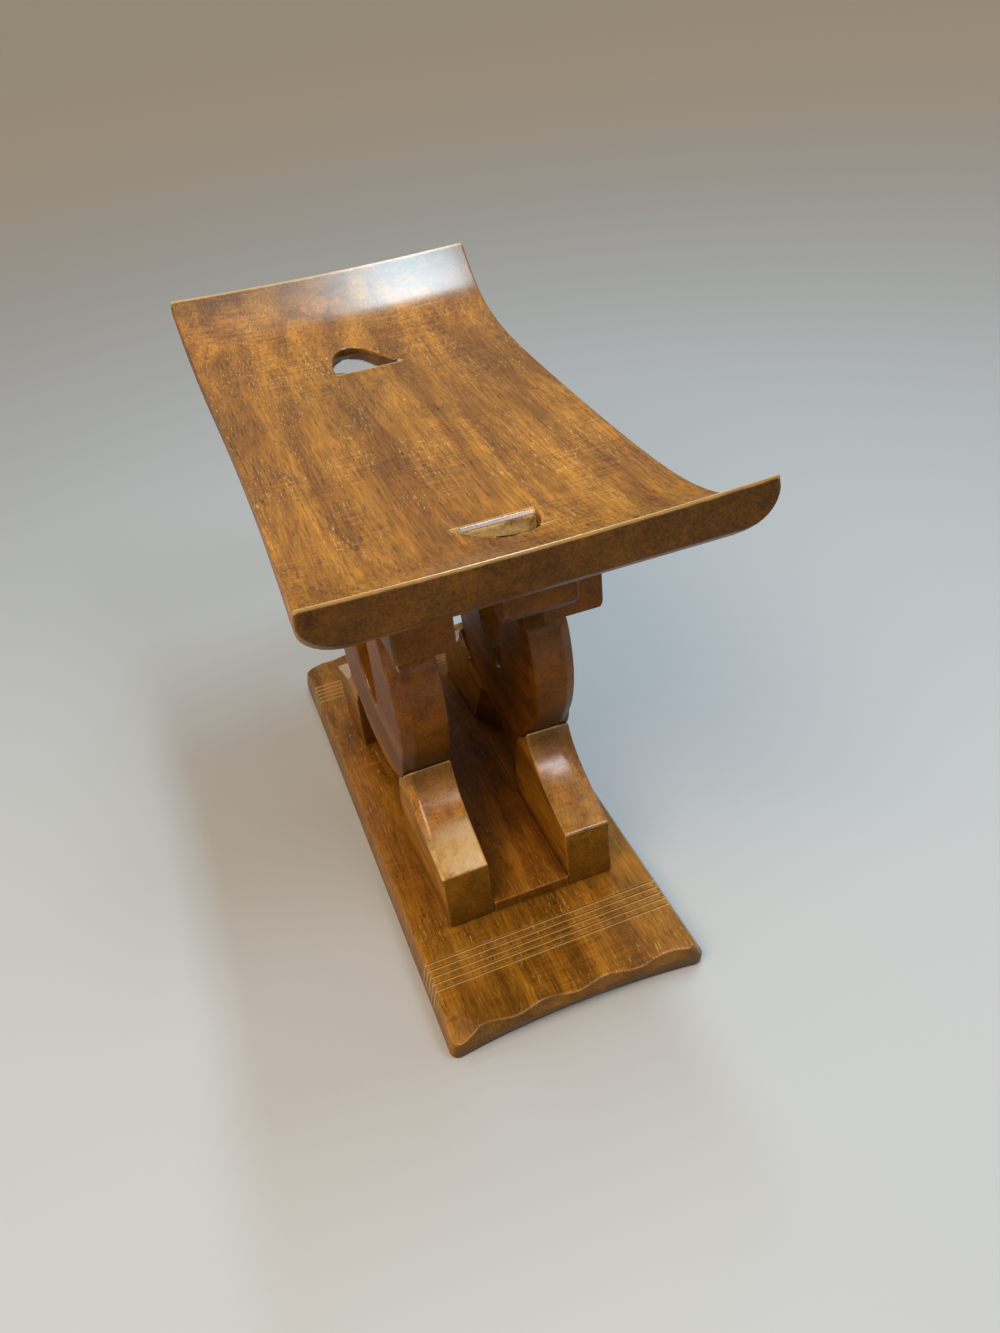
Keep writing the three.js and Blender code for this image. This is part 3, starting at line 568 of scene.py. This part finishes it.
# A look's darkest colour darkens the pores and pits, and also paints the shade
SEAT_LOOK = {
    **UNMARKED,
    "dark": rgb(134, 82, 19), "light": rgb(178, 118, 36), "end": rgb(74, 45, 7),
    "pale": rgb(238, 196, 126), "dirt_and_shade": rgb(50, 28, 10),
    "tones": {"Mottle": 0.3, "Fibres": 0.55, "Ripple": 0.45}, "End Grain": 0.85,
    "Flecks": 0.6, "Pores": 0.55, "Pits": 0.7, "Edges": 0.6, "Hole Walls": 0.85, "Crevices": 0.45,
    "roughness": 0.36, "coat": 0.9, "coat_roughness": 0.2, "carving": 6.0,
}
BASE_LOOK = {
    **UNMARKED,
    "dark": rgb(116, 72, 11), "light": rgb(168, 111, 28), "end": rgb(106, 69, 12),
    "pale": rgb(232, 190, 116), "dirt_and_shade": rgb(48, 27, 8),
    "tones": {"Mottle": 0.4, "Fibres": 0.45, "Ripple": 0.4}, "End Grain": 0.8,
    "Flecks": 0.55, "Pores": 0.5, "Pits": 0.6, "Edges": 1.0, "Lines": 0.6, "Crevices": 0.6,
    "roughness": 0.38, "coat": 0.45, "coat_roughness": 0.22, "carving": 9.0,
}
# The feet carry the painted sheen on their tops
FOOT_LOOK = {
    **BASE_LOOK,
    "dark": rgb(144, 88, 16), "light": rgb(198, 132, 38), "Edges": 0.8, "Tread": 0.85, "coat": 1.0,
}
PANEL_LOOK = {
    **UNMARKED,
    "dark": rgb(106, 60, 8), "light": rgb(150, 88, 16), "end": rgb(124, 72, 8),
    "pale": rgb(206, 150, 78), "dirt_and_shade": rgb(34, 18, 4),
    "tones": {"Mottle": 0.5, "Fibres": 0.4, "Ripple": 0.2}, "End Grain": 0.8,
    "Flecks": 0.35, "Pores": 0.5, "Pits": 0.6, "Edges": 0.45, "Crevices": 0.85,
    "roughness": 0.36, "coat": 0.9, "coat_roughness": 0.2, "carving": 12.0,
}
CHANNEL_LOOK = {
    **UNMARKED,
    "dark": rgb(138, 84, 18), "light": rgb(186, 120, 34), "end": rgb(120, 74, 14),
    "pale": rgb(210, 162, 92), "dirt_and_shade": rgb(34, 19, 5),
    "tones": {"Mottle": 0.5, "Fibres": 0.4, "Ripple": 0.2}, "End Grain": 0.5,
    "Flecks": 0.6, "Pores": 0.5, "Pits": 0.6, "Edges": 0.4, "Crevices": 0.8,
    "roughness": 0.5, "coat": 0.2, "coat_roughness": 0.35, "carving": 9.0,
}
# The floor is painted lighter and warmer away from the stool, as painted light where the lamps fall off
FLOOR_NEAR_COLOUR = rgb(203, 206, 209)
FLOOR_FAR_LIT_COLOUR = rgb(242, 224, 196)


def make_floor():
    """A pale floor, painted lighter and warmer far away as painted light."""
    bpy.ops.mesh.primitive_plane_add(size=2 * FLOOR_HALF_SIZE)
    floor = bpy.context.object
    floor.name = "studio_floor"
    material = bpy.data.materials.new("studio_floor")
    material.use_nodes = True
    sheet = Sheet(material.node_tree)
    place = sheet.add("ShaderNodeTexCoord")
    distance = sheet.add("ShaderNodeVectorMath", operation="LENGTH")
    sheet.feed(distance, Vector=place.outputs["Object"])
    # Painted light: lighter and warmer with distance
    far = sheet.ramp(distance.outputs["Value"], *FLOOR_PAINTED_LIGHT_FADE)
    colour = sheet.mix(far, FLOOR_NEAR_COLOUR, FLOOR_FAR_LIT_COLOUR)
    sheet.feed(sheet.nodes["Principled BSDF"], Base_Color=colour, Roughness=FLOOR_ROUGHNESS)
    floor.data.materials.append(material)


# Making pieces by hand

def begin():
    """Object mode, with nothing selected."""
    if bpy.context.mode != "OBJECT":
        bpy.ops.object.mode_set(mode="OBJECT")
    bpy.ops.object.select_all(action="DESELECT")


def take(piece):
    begin()
    piece.select_set(True)
    bpy.context.view_layer.objects.active = piece


def build_up(name, rings):
    """A filled circle is set on the first ring, and its face is extruded from ring to ring."""
    begin()
    bpy.ops.mesh.primitive_circle_add(vertices=len(rings[0]), radius=CIRCLE_START, fill_type="NGON")
    piece = bpy.context.object
    piece.name = name
    bpy.ops.object.mode_set(mode="EDIT")
    mesh = bmesh.from_edit_mesh(piece.data)
    mesh.faces.ensure_lookup_table()
    corners = [loop.vert for loop in mesh.faces[0].loops]
    for ring in rings:
        if ring is not rings[0]:
            bpy.ops.mesh.extrude_region_move()
            mesh = bmesh.from_edit_mesh(piece.data)
            found = {tuple(vertex.co): vertex for vertex in mesh.verts if vertex.select}
            corners = [found[place] for place in places]
        for corner, place in zip(corners, ring):
            corner.co = place
        places = [tuple(corner.co) for corner in corners]
    bpy.ops.mesh.select_all(action="SELECT")
    bpy.ops.mesh.normals_make_consistent(inside=False)
    bpy.ops.object.mode_set(mode="OBJECT")
    return piece


def apply_modifier(piece, name, kind, **settings):
    take(piece)
    modifier = piece.modifiers.new(name, kind)
    for setting, value in settings.items():
        setattr(modifier, setting, value)
    bpy.ops.object.modifier_apply(modifier=name)


def cut(piece, tool, operation="DIFFERENCE"):
    apply_modifier(piece, "cut", "BOOLEAN", object=tool, operation=operation, solver="EXACT")
    bpy.data.objects.remove(tool)


def soften(piece, width, angle=SHARP_ANGLE):
    """Rounds every edge that turns by more than the angle, as use and polishing do."""
    apply_modifier(
        piece, "rounding", "BEVEL", width=width, segments=ROUNDING_SEGMENTS, limit_method="ANGLE",
        angle_limit=angle, use_clamp_overlap=False, miter_outer="MITER_ARC",
    )


def polish(piece, node, wood):
    """Smooth shading, the wood and the piece's place in the stool."""
    take(piece)
    bpy.ops.object.shade_smooth_by_angle(angle=SHADING_ANGLE)
    apply_modifier(piece, "flats", "WEIGHTED_NORMAL", keep_sharp=True)
    piece.data.materials.clear()
    piece.data.materials.append(woods[wood])
    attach(piece, "root")
    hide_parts(node)


# Curves in a plane

def arc(centre, radius, start, stop, steps=CURVE_STEPS):
    turns = [start + (stop - start) * i / steps for i in range(steps + 1)]
    return [(centre[0] + radius * math.cos(turn), centre[1] + radius * math.sin(turn)) for turn in turns]


def curve(points, steps=CURVE_STEPS):
    """A Bezier curve: its first and last points are its ends, the others its handles."""
    def at(share):
        row = [Vector(point) for point in points]
        while len(row) > 1:
            row = [a.lerp(b, share) for a, b in zip(row, row[1:])]
        return tuple(row[0])
    return [at(i / steps) for i in range(steps + 1)]


def across(outline, y):
    return [(x, y, z) for x, z in outline]


def at_height(outline, z):
    return [(x, y, z) for x, y in outline]


# Seat board

def seat_edge_top(x):
    share = abs(x) / SEAT_HALF_LENGTH
    lift = -x / (2 * SEAT_HALF_LENGTH) * SEAT_FAR_LIFT
    return SEAT_MIDDLE_TOP + SEAT_END_RISE * share ** SEAT_RISE_POWER + lift


def seat_underside(x):
    share = abs(x) / SEAT_HALF_LENGTH
    thickening = (SEAT_END_THICKNESS - SEAT_MIDDLE_THICKNESS) * share ** SEAT_THICKENING_POWER
    return seat_edge_top(x) - SEAT_MIDDLE_THICKNESS - thickening


def seat_section(x):
    """Up the rounded right edge, over the dished top and down the left edge."""
    share = x / SEAT_HALF_LENGTH
    end_width = SEAT_NEAR_WIDTH if x > 0 else SEAT_FAR_WIDTH
    half = (SEAT_MIDDLE_WIDTH + (end_width - SEAT_MIDDLE_WIDTH) * share ** 2) / 2
    side = half + SEAT_EDGE_BULGE
    top = seat_edge_top(x)
    shoulder = top - SEAT_EDGE_HEIGHT
    drop = shoulder - seat_underside(x)
    turns = [i / SEAT_ROUND_STEPS * math.pi / 2 for i in range(SEAT_ROUND_STEPS + 1)]
    def rounding(radius):
        return [(side - radius * (1 - math.sin(turn)), shoulder - drop * math.cos(turn)) for turn in turns]

    left = [(-y, z) for y, z in reversed(rounding(SEAT_EDGE_RADII[LEFT]))]
    shares = [1 - 2 * i / SEAT_TOP_STEPS for i in range(SEAT_TOP_STEPS + 1)]
    dish = [(half * share, top - SEAT_DISH * (1 - share ** 2)) for share in shares]
    return [(x, y, z) for y, z in rounding(SEAT_EDGE_RADII[RIGHT]) + dish + left]


def hole_ring(end, lip, depth, z):
    """One level of a hole, of the near one's outline turned half round for the far one. A lip
    moves its flat side towards the middle of the seat."""
    half = HOLE_WIDTH / 2
    flat, deepest = HOLE_FLAT_X - lip, HOLE_FLAT_X + depth
    tail = (HOLE_FLAT_X + depth * HOLE_TAIL_SHARES[0], -half * HOLE_TAIL_SHARES[1])
    outline = curve([(flat, -half), tail, (deepest, -HOLE_PEAK_OFFSET), (deepest, HOLE_PEAK_OFFSET)])
    outline += curve([(deepest, HOLE_PEAK_OFFSET), (deepest, half), (flat, half)])[1:]
    return at_height([(end * x, end * y + HOLE_MIDDLE_Y[end]) for x, y in outline], z)


def hole_cutter(end):
    """The curved wall slants out below. The flat side has a worn lip at the dished top."""
    top = seat_edge_top(end * HOLE_FLAT_X) - SEAT_DISH
    depth = HOLE_DEPTHS[end] + SEAT_DISH * HOLE_SLOPE
    drop = HOLE_LIP + SEAT_END_THICKNESS
    rings = [
        hole_ring(end, 0, depth + drop * HOLE_SLOPE, top - drop),
        hole_ring(end, 0, depth + HOLE_LIP * HOLE_SLOPE, top - HOLE_LIP),
        hole_ring(end, HOLE_LIP, depth, top),
        hole_ring(end, 2 * HOLE_LIP, depth, top + SEAT_END_THICKNESS),
    ]
    return build_up("hole_cutter", rings)


def make_seat():
    stations = [SEAT_HALF_LENGTH * (2 * i / SEAT_STATIONS - 1) for i in range(SEAT_STATIONS + 1)]
    seat = build_up("seat_board", [seat_section(x) for x in stations])
    for end in (NEAR, FAR):
        cut(seat, hole_cutter(end))
    soften(seat, SEAT_ROUNDING)
    polish(seat, "seat", "seat_wood")


# Base board

def end_inset(share, half, undercut, hollow, wave):
    """How far a point of an end's outline lies in from the end of the board."""
    bow = hollow * (1 - share ** 2)
    ripple = wave * (1 - math.cos((share + 1) * WAVE_COUNT * math.pi)) / 2
    in_corner = max(0, BASE_CORNER_RADIUS - half * (1 - abs(share)))
    corner = BASE_CORNER_RADIUS - math.sqrt(BASE_CORNER_RADIUS ** 2 - in_corner ** 2)
    return undercut + bow + ripple + corner


def base_ring(z, left, right, undercut, hollow, wave):
    half = (left + right) / 2
    edge = []
    for i in range(BASE_END_STEPS + 1):
        share = -math.cos(i / BASE_END_STEPS * math.pi)
        inset = end_inset(share, half, undercut, hollow, wave)
        edge.append((BASE_HALF_LENGTH - inset, half * share + (right - left) / 2, z))
    return edge + [(-x, y, z) for x, y, z in reversed(edge)]


def base_body():
    half = BASE_HALF_WIDTH
    bevel_z = BASE_TOP - BASE_END_BEVEL
    inset = (bevel_z - BASE_EDGE_HEIGHT) / (BASE_TOP - BASE_EDGE_HEIGHT)
    lean = 1 - BASE_EDGE_HEIGHT / bevel_z
    edge_hollow = BASE_TOP_HOLLOW + (BASE_BOTTOM_HOLLOW - BASE_TOP_HOLLOW) * lean
    left, right = half - BASE_BEVELS[LEFT], half - BASE_BEVELS[RIGHT]
    bevel_left, bevel_right = half - BASE_BEVELS[LEFT] * inset, half - BASE_BEVELS[RIGHT] * inset
    return build_up("carved_base", [
        base_ring(0, half, half, BASE_END_UNDERCUT, BASE_BOTTOM_HOLLOW, 0),
        base_ring(BASE_EDGE_HEIGHT, half, half, BASE_END_UNDERCUT * lean, edge_hollow, 0),
        base_ring(bevel_z, bevel_left, bevel_right, 0, BASE_TOP_HOLLOW, 0),
        base_ring(BASE_TOP, left, right, 0, BASE_TOP_HOLLOW, BASE_WAVE_DEPTH),
    ])


def corner_cutter(end, side):
    """The worn slope of one corner: its lower ring lies in the slope's plane."""
    width = CORNER_WEAR_WIDTHS[side]
    reach_x = CORNER_WEAR_LENGTH * (1 + OVERRUN / width)
    reach_y = width * (1 + OVERRUN / CORNER_WEAR_LENGTH)
    places = [(-OVERRUN, -OVERRUN), (reach_x, -OVERRUN), (-OVERRUN, reach_y)]
    low, high = [], []
    for along, over in places:
        x, y = end * (BASE_HALF_LENGTH - along), side * (BASE_HALF_WIDTH - over)
        share = 1 - along / CORNER_WEAR_LENGTH - over / width
        low.append((x, y, BASE_TOP - CORNER_WEAR_DEPTH * share))
        high.append((x, y, BASE_TOP + OVERRUN))
    return build_up("corner_cutter", [low, high])


def line_cutter(x):
    reach = LINE_WIDTH / 2 / LINE_DEPTH * (LINE_DEPTH + OVERRUN)
    above = BASE_TOP + OVERRUN
    outline = [(x, BASE_TOP - LINE_DEPTH), (x + reach, above), (x - reach, above)]
    side = BASE_HALF_WIDTH + OVERRUN
    return build_up("line_cutter", [across(outline, -side), across(outline, side)])


def make_base():
    base = base_body()
    soften(base, BASE_ROUNDING, BASE_SHARP_ANGLE)
    for end in (NEAR, FAR):
        for side in (LEFT, RIGHT):
            cut(base, corner_cutter(end, side))
    for end in (NEAR, FAR):
        for line in range(LINE_COUNT):
            cut(base, line_cutter(end * (LINE_FIRST_X + line * LINE_SPACING)))
    polish(base, "base_board", "base_wood")


def block(name, half_length, half_width, low, high):
    """A plain block, centred over the middle of the stool."""
    x, y = half_length, half_width
    outline = [(x, -y), (x, y), (-x, y), (-x, -y)]
    return build_up(name, [at_height(outline, low), at_height(outline, high)])


def make_channel_floor():
    slab = block("channel_slab", PANEL_HALF_LENGTH, PANEL_INNER_Y - GAP, floor_low.z, floor_high.z)
    soften(slab, FLOOR_ROUNDING)
    polish(slab, "channel_floor", "channel_wood")


def make_batten():
    outer, inner, bottom = batten_high.x, batten_low.x, batten_low.z
    outline = [(inner, bottom), (outer - BATTEN_BEVEL, bottom), (outer, bottom + BATTEN_BEVEL)]
    steps = [outer + (inner - outer) * i / BATTEN_STEPS for i in range(BATTEN_STEPS + 1)]
    outline += [(x, seat_underside(x) - GAP) for x in steps]
    batten = build_up("grip_bar", [across(outline, batten_low.y), across(outline, batten_high.y)])
    soften(batten, EDGE_ROUNDING)
    polish(batten, "grip_batten", "panel_wood")


# Side panels: each piece is made in its panel's frame, then set in its place

def set_in_panel(piece, side):
    spread = PANEL_SPREADS[side]
    place = Matrix.Translation((0, side * (PANEL_INNER_Y + spread / 2), 0))
    turn = Matrix.Rotation(-side * math.atan2(spread, 2 * PANEL_HALF_LENGTH), 4, "Z")
    take(piece)
    piece.matrix_world = place @ turn
    bpy.ops.object.transform_apply(location=True, rotation=True, scale=True)


def panel_start(side):
    """Feet and webs start inside their panel, and are cut back to the channel's straight walls."""
    return -side * (PANEL_SPREADS[LEFT] + PANEL_SPREADS[RIGHT])


def channel_cutter():
    return block("channel_cutter", SEAT_HALF_LENGTH, PANEL_INNER_Y, 0, CRESCENT_CENTRE_Z)


def crescent_low_z(x):
    return CRESCENT_CENTRE_Z - math.sqrt((CRESCENT_RADIUS + GAP) ** 2 - x ** 2)


def foot_inner_face(end, clearance):
    """The inner face of a foot from its top to its bottom, with a clearance on its inner side."""
    top_x, bottom_x, bottom = FOOT_INNER_TOP_X - clearance, FOOT_INNER_X[end] - clearance, BASE_TOP + GAP
    top_z = crescent_low_z(top_x)
    handle_z = bottom + FOOT_INNER_SHARE * (top_z - bottom)
    return curve([(top_x, top_z), (bottom_x, handle_z), (bottom_x, bottom)])


def foot_outline(end, drop):
    """A foot from the side. A drop lowers its top at the neck, for the ring below the outer chamfer."""
    radius = CRESCENT_RADIUS + GAP
    inner_x = FOOT_INNER_X[end]
    bottom = BASE_TOP + GAP
    neck_z = crescent_low_z(FOOT_NECK_X) - drop
    neck_x = math.sqrt(radius ** 2 - (CRESCENT_CENTRE_Z - neck_z) ** 2)
    end_top_z = BASE_TOP + FOOT_END_HEIGHT
    run, rise = PANEL_HALF_LENGTH - neck_x, neck_z - end_top_z
    handles = [(neck_x + along * run, end_top_z + up * rise) for along, up in FOOT_TOP_SHARES]
    outline = [(inner_x, bottom), (PANEL_HALF_LENGTH, bottom)]
    outline += curve([(PANEL_HALF_LENGTH, end_top_z), *handles, (neck_x, neck_z)])
    neck_turn, inner_turn = (-math.acos(x / radius) for x in (neck_x, FOOT_INNER_TOP_X))
    outline += arc((0, CRESCENT_CENTRE_Z), radius, neck_turn, inner_turn, NECK_STEPS)[1:]
    outline += foot_inner_face(end, 0)[1:-1]
    return [(end * x, z) for x, z in outline]


def make_foot(end, side):
    name = f"{END_NAMES[end]}_{SIDE_NAMES[side]}"
    full = foot_outline(end, 0)
    lowered = foot_outline(end, FOOT_CHAMFER_DROP[side])
    ridge = PANEL_THICKNESS - FOOT_CHAMFER_WIDTH[side]
    rings = [
        across(full, panel_start(side)), across(full, side * ridge), across(lowered, side * PANEL_THICKNESS),
    ]
    foot = build_up(f"carved_foot_{name}", rings)
    set_in_panel(foot, side)
    cut(foot, channel_cutter())
    soften(foot, EDGE_ROUNDING, FOOT_SHARP_ANGLE)
    polish(foot, f"foot_{name}", "foot_wood")


def hollow_cutter(side):
    """A long near slope and a short far one, above the channel's floor. It leans with height."""
    inside = side * panel_start(side)
    near_slope = WEB_HOLLOW_DEPTH / (WEB_HOLLOW_NEAR_X + WEB_HOLLOW_DEEP_X)
    far_slope = WEB_HOLLOW_DEPTH / (WEB_HOLLOW_FAR_X - WEB_HOLLOW_DEEP_X)
    lean = WEB_HOLLOW_LEAN / (CRESCENT_CENTRE_Z - CRESCENT_RADIUS - floor_high.z)
    rings = []
    for z in (floor_high.z, CRESCENT_CENTRE_Z):
        shift = lean * (z - floor_high.z)
        places = [
            (WEB_HOLLOW_NEAR_X - inside / near_slope, inside),
            (shift - WEB_HOLLOW_DEEP_X, WEB_HOLLOW_DEPTH),
            (shift - WEB_HOLLOW_FAR_X + inside / far_slope, inside),
        ]
        rings.append([(x, side * y, z) for x, y in places])
    return build_up("hollow_cutter", rings)


def make_web(side):
    near, far = foot_inner_face(NEAR, GAP), foot_inner_face(FAR, GAP)
    stop = -math.acos(near[0][0] / (CRESCENT_RADIUS + GAP))
    belly = arc((0, CRESCENT_CENTRE_Z), CRESCENT_RADIUS + GAP, stop, -math.pi - stop)
    outline = near[::-1] + belly[1:] + [(-x, z) for x, z in far[1:]]
    rings = [across(outline, panel_start(side)), across(outline, side * WEB_OUTER_Y)]
    web = build_up(f"arch_panel_{SIDE_NAMES[side]}", rings)
    cut(web, hollow_cutter(side))
    set_in_panel(web, side)
    cut(web, channel_cutter())
    polish(web, f"arch_web_{SIDE_NAMES[side]}", "channel_wood")


def chamfer_share(z):
    """The chamfers fade out towards the bottom of the belly, where the feet begin."""
    share = min(1, max(0, (z - CHAMFER_START_Z) / (CHAMFER_FULL_Z - CHAMFER_START_Z)))
    return share * share * (3 - 2 * share)


def crescent_outline(chamfer):
    """The round belly and two arms, drawn in at the waist. A chamfer's depth draws in the belly."""
    turn = CRESCENT_TURN
    shoulder = (CRESCENT_RADIUS * math.cos(turn), CRESCENT_CENTRE_Z + CRESCENT_RADIUS * math.sin(turn))
    low_z, high_z = (shoulder[1] + share * (ARM_TOP_Z - shoulder[1]) for share in ARM_WAIST_SHARES)
    low_x = shoulder[0] - (low_z - shoulder[1]) * math.tan(turn)
    half = []
    for x, z in arc((0, CRESCENT_CENTRE_Z), CRESCENT_RADIUS, -math.pi / 2, turn, 2 * CURVE_STEPS):
        inset = chamfer * chamfer_share(z)
        scale = 1 - inset / CRESCENT_RADIUS
        half.append((x * scale, CRESCENT_CENTRE_Z + (z - CRESCENT_CENTRE_Z) * scale))
    waist = [(low_x - inset, low_z), (ARM_WAIST_X - inset / 2, high_z)]
    half += curve([half[-1], *waist, (ARM_OUTER_X, ARM_TOP_Z)])[1:]
    return half + [(-x, z) for x, z in reversed(half[1:])]


def fork_cutter(side):
    waist_z = FORK_BOTTOM_Z + FORK_WAIST_SHARE * (SEAT_MIDDLE_TOP - FORK_BOTTOM_Z)
    outline = curve([(-FORK_TOP_X, SEAT_MIDDLE_TOP), (-FORK_WAIST_X, waist_z),
                     (-FORK_BOTTOM_X, FORK_BOTTOM_Z), (FORK_BOTTOM_X, FORK_BOTTOM_Z)])
    outline += curve([(FORK_BOTTOM_X, FORK_BOTTOM_Z), (FORK_TOP_X, FORK_BOTTOM_Z),
                      (FORK_WAIST_X, waist_z), (FORK_TOP_X, SEAT_MIDDLE_TOP)])[1:]
    rings = [across(outline, -side * OVERRUN), across(outline, side * (PANEL_THICKNESS + 2 * OVERRUN))]
    return build_up("fork_cutter", rings)


def make_crescent(side):
    full = crescent_outline(0)
    rings = [
        across(crescent_outline(INNER_CHAMFER_DEPTH[side]), 0),
        across(full, side * INNER_CHAMFER_WIDTH),
        across(full, side * (PANEL_THICKNESS - CRESCENT_CHAMFER_WIDTH)),
        across(crescent_outline(CRESCENT_CHAMFER_DEPTH), side * PANEL_THICKNESS),
    ]
    crescent = build_up(f"crescent_panel_{SIDE_NAMES[side]}", rings)
    cut(crescent, fork_cutter(side))
    soften(crescent, EDGE_ROUNDING, CRESCENT_SHARP_ANGLE)
    set_in_panel(crescent, side)
    polish(crescent, f"crescent_{SIDE_NAMES[side]}", "panel_wood")


def head_end_plate(side):
    """The end view of a head: it overhangs the panel on both sides and is rounded below."""
    inner = -side * HEAD_INNER_OVERHANG
    flush = side * PANEL_THICKNESS
    outer = side * (PANEL_THICKNESS + HEAD_OUTER_OVERHANG)
    outline = [(inner, ARM_TOP_Z), (flush, ARM_TOP_Z)]
    corner = [(flush, HEAD_FRONT_Z), (outer, HEAD_FRONT_Z), (outer, HEAD_FRONT_Z + HEAD_ROUNDING)]
    outline += curve(corner, HEAD_ROUND_STEPS)
    outline += [(outer, seat_high.z), (inner, seat_high.z)]
    reach = PANEL_HALF_LENGTH + OVERRUN
    rings = [[(x, y, z) for y, z in outline] for x in (-reach, reach)]
    return build_up("end_plate", rings)


def make_head(end, side):
    name = f"{END_NAMES[end]}_{SIDE_NAMES[side]}"
    under = ARM_TOP_Z + GAP
    handle_x = (ARM_OUTER_X + PANEL_HALF_LENGTH) / 2
    outline = [(0, under)]
    underside = [(ARM_OUTER_X, under), (handle_x, HEAD_FRONT_Z), (PANEL_HALF_LENGTH, HEAD_FRONT_Z)]
    outline += curve(underside, HEAD_STEPS)
    steps = [PANEL_HALF_LENGTH * (1 - i / CURVE_STEPS) for i in range(CURVE_STEPS + 1)]
    outline += [(x, seat_underside(end * x) - GAP) for x in steps]
    outline = [(end * x, z) for x, z in outline]
    inner, outer = -side * HEAD_INNER_OVERHANG, side * (PANEL_THICKNESS + HEAD_OUTER_OVERHANG)
    head = build_up(f"carved_head_{name}", [across(outline, inner), across(outline, outer)])
    cut(head, head_end_plate(side), "INTERSECT")
    cut(head, fork_cutter(side))
    soften(head, EDGE_ROUNDING)
    set_in_panel(head, side)
    polish(head, f"head_{name}", "panel_wood")


make_camera()
make_world()
make_lamp("strip", STRIP_PLACE, (*STRIP_PLACE[:2], 0), STRIP_SIZE, STRIP_WATTS, STRIP_COLOUR)
make_lamp("window", WINDOW_PLACE, LAMP_AIM, WINDOW_SIZE, WINDOW_WATTS, WINDOW_COLOUR)
make_lamp("warm", WARM_PLACE, LAMP_AIM, WARM_SIZE, WARM_WATTS, WARM_COLOUR)
bpy.ops.object.select_all(action="DESELECT")
make_floor()

figure = make_figure_group()
wear_and_light = make_wear_and_light_group()
woods = {
    "seat_wood": wood_material("seat_wood", SEAT_LOOK),
    "base_wood": wood_material("base_wood", BASE_LOOK),
    "foot_wood": wood_material("foot_wood", FOOT_LOOK),
    "panel_wood": wood_material("panel_wood", PANEL_LOOK),
    "channel_wood": wood_material("channel_wood", CHANNEL_LOOK),
}

make_seat()
make_base()
make_channel_floor()
make_batten()
for side in (LEFT, RIGHT):
    make_crescent(side)
    make_web(side)
    for end in (NEAR, FAR):
        make_foot(end, side)
        make_head(end, side)

bpy.context.scene.view_settings.view_transform = "Standard"
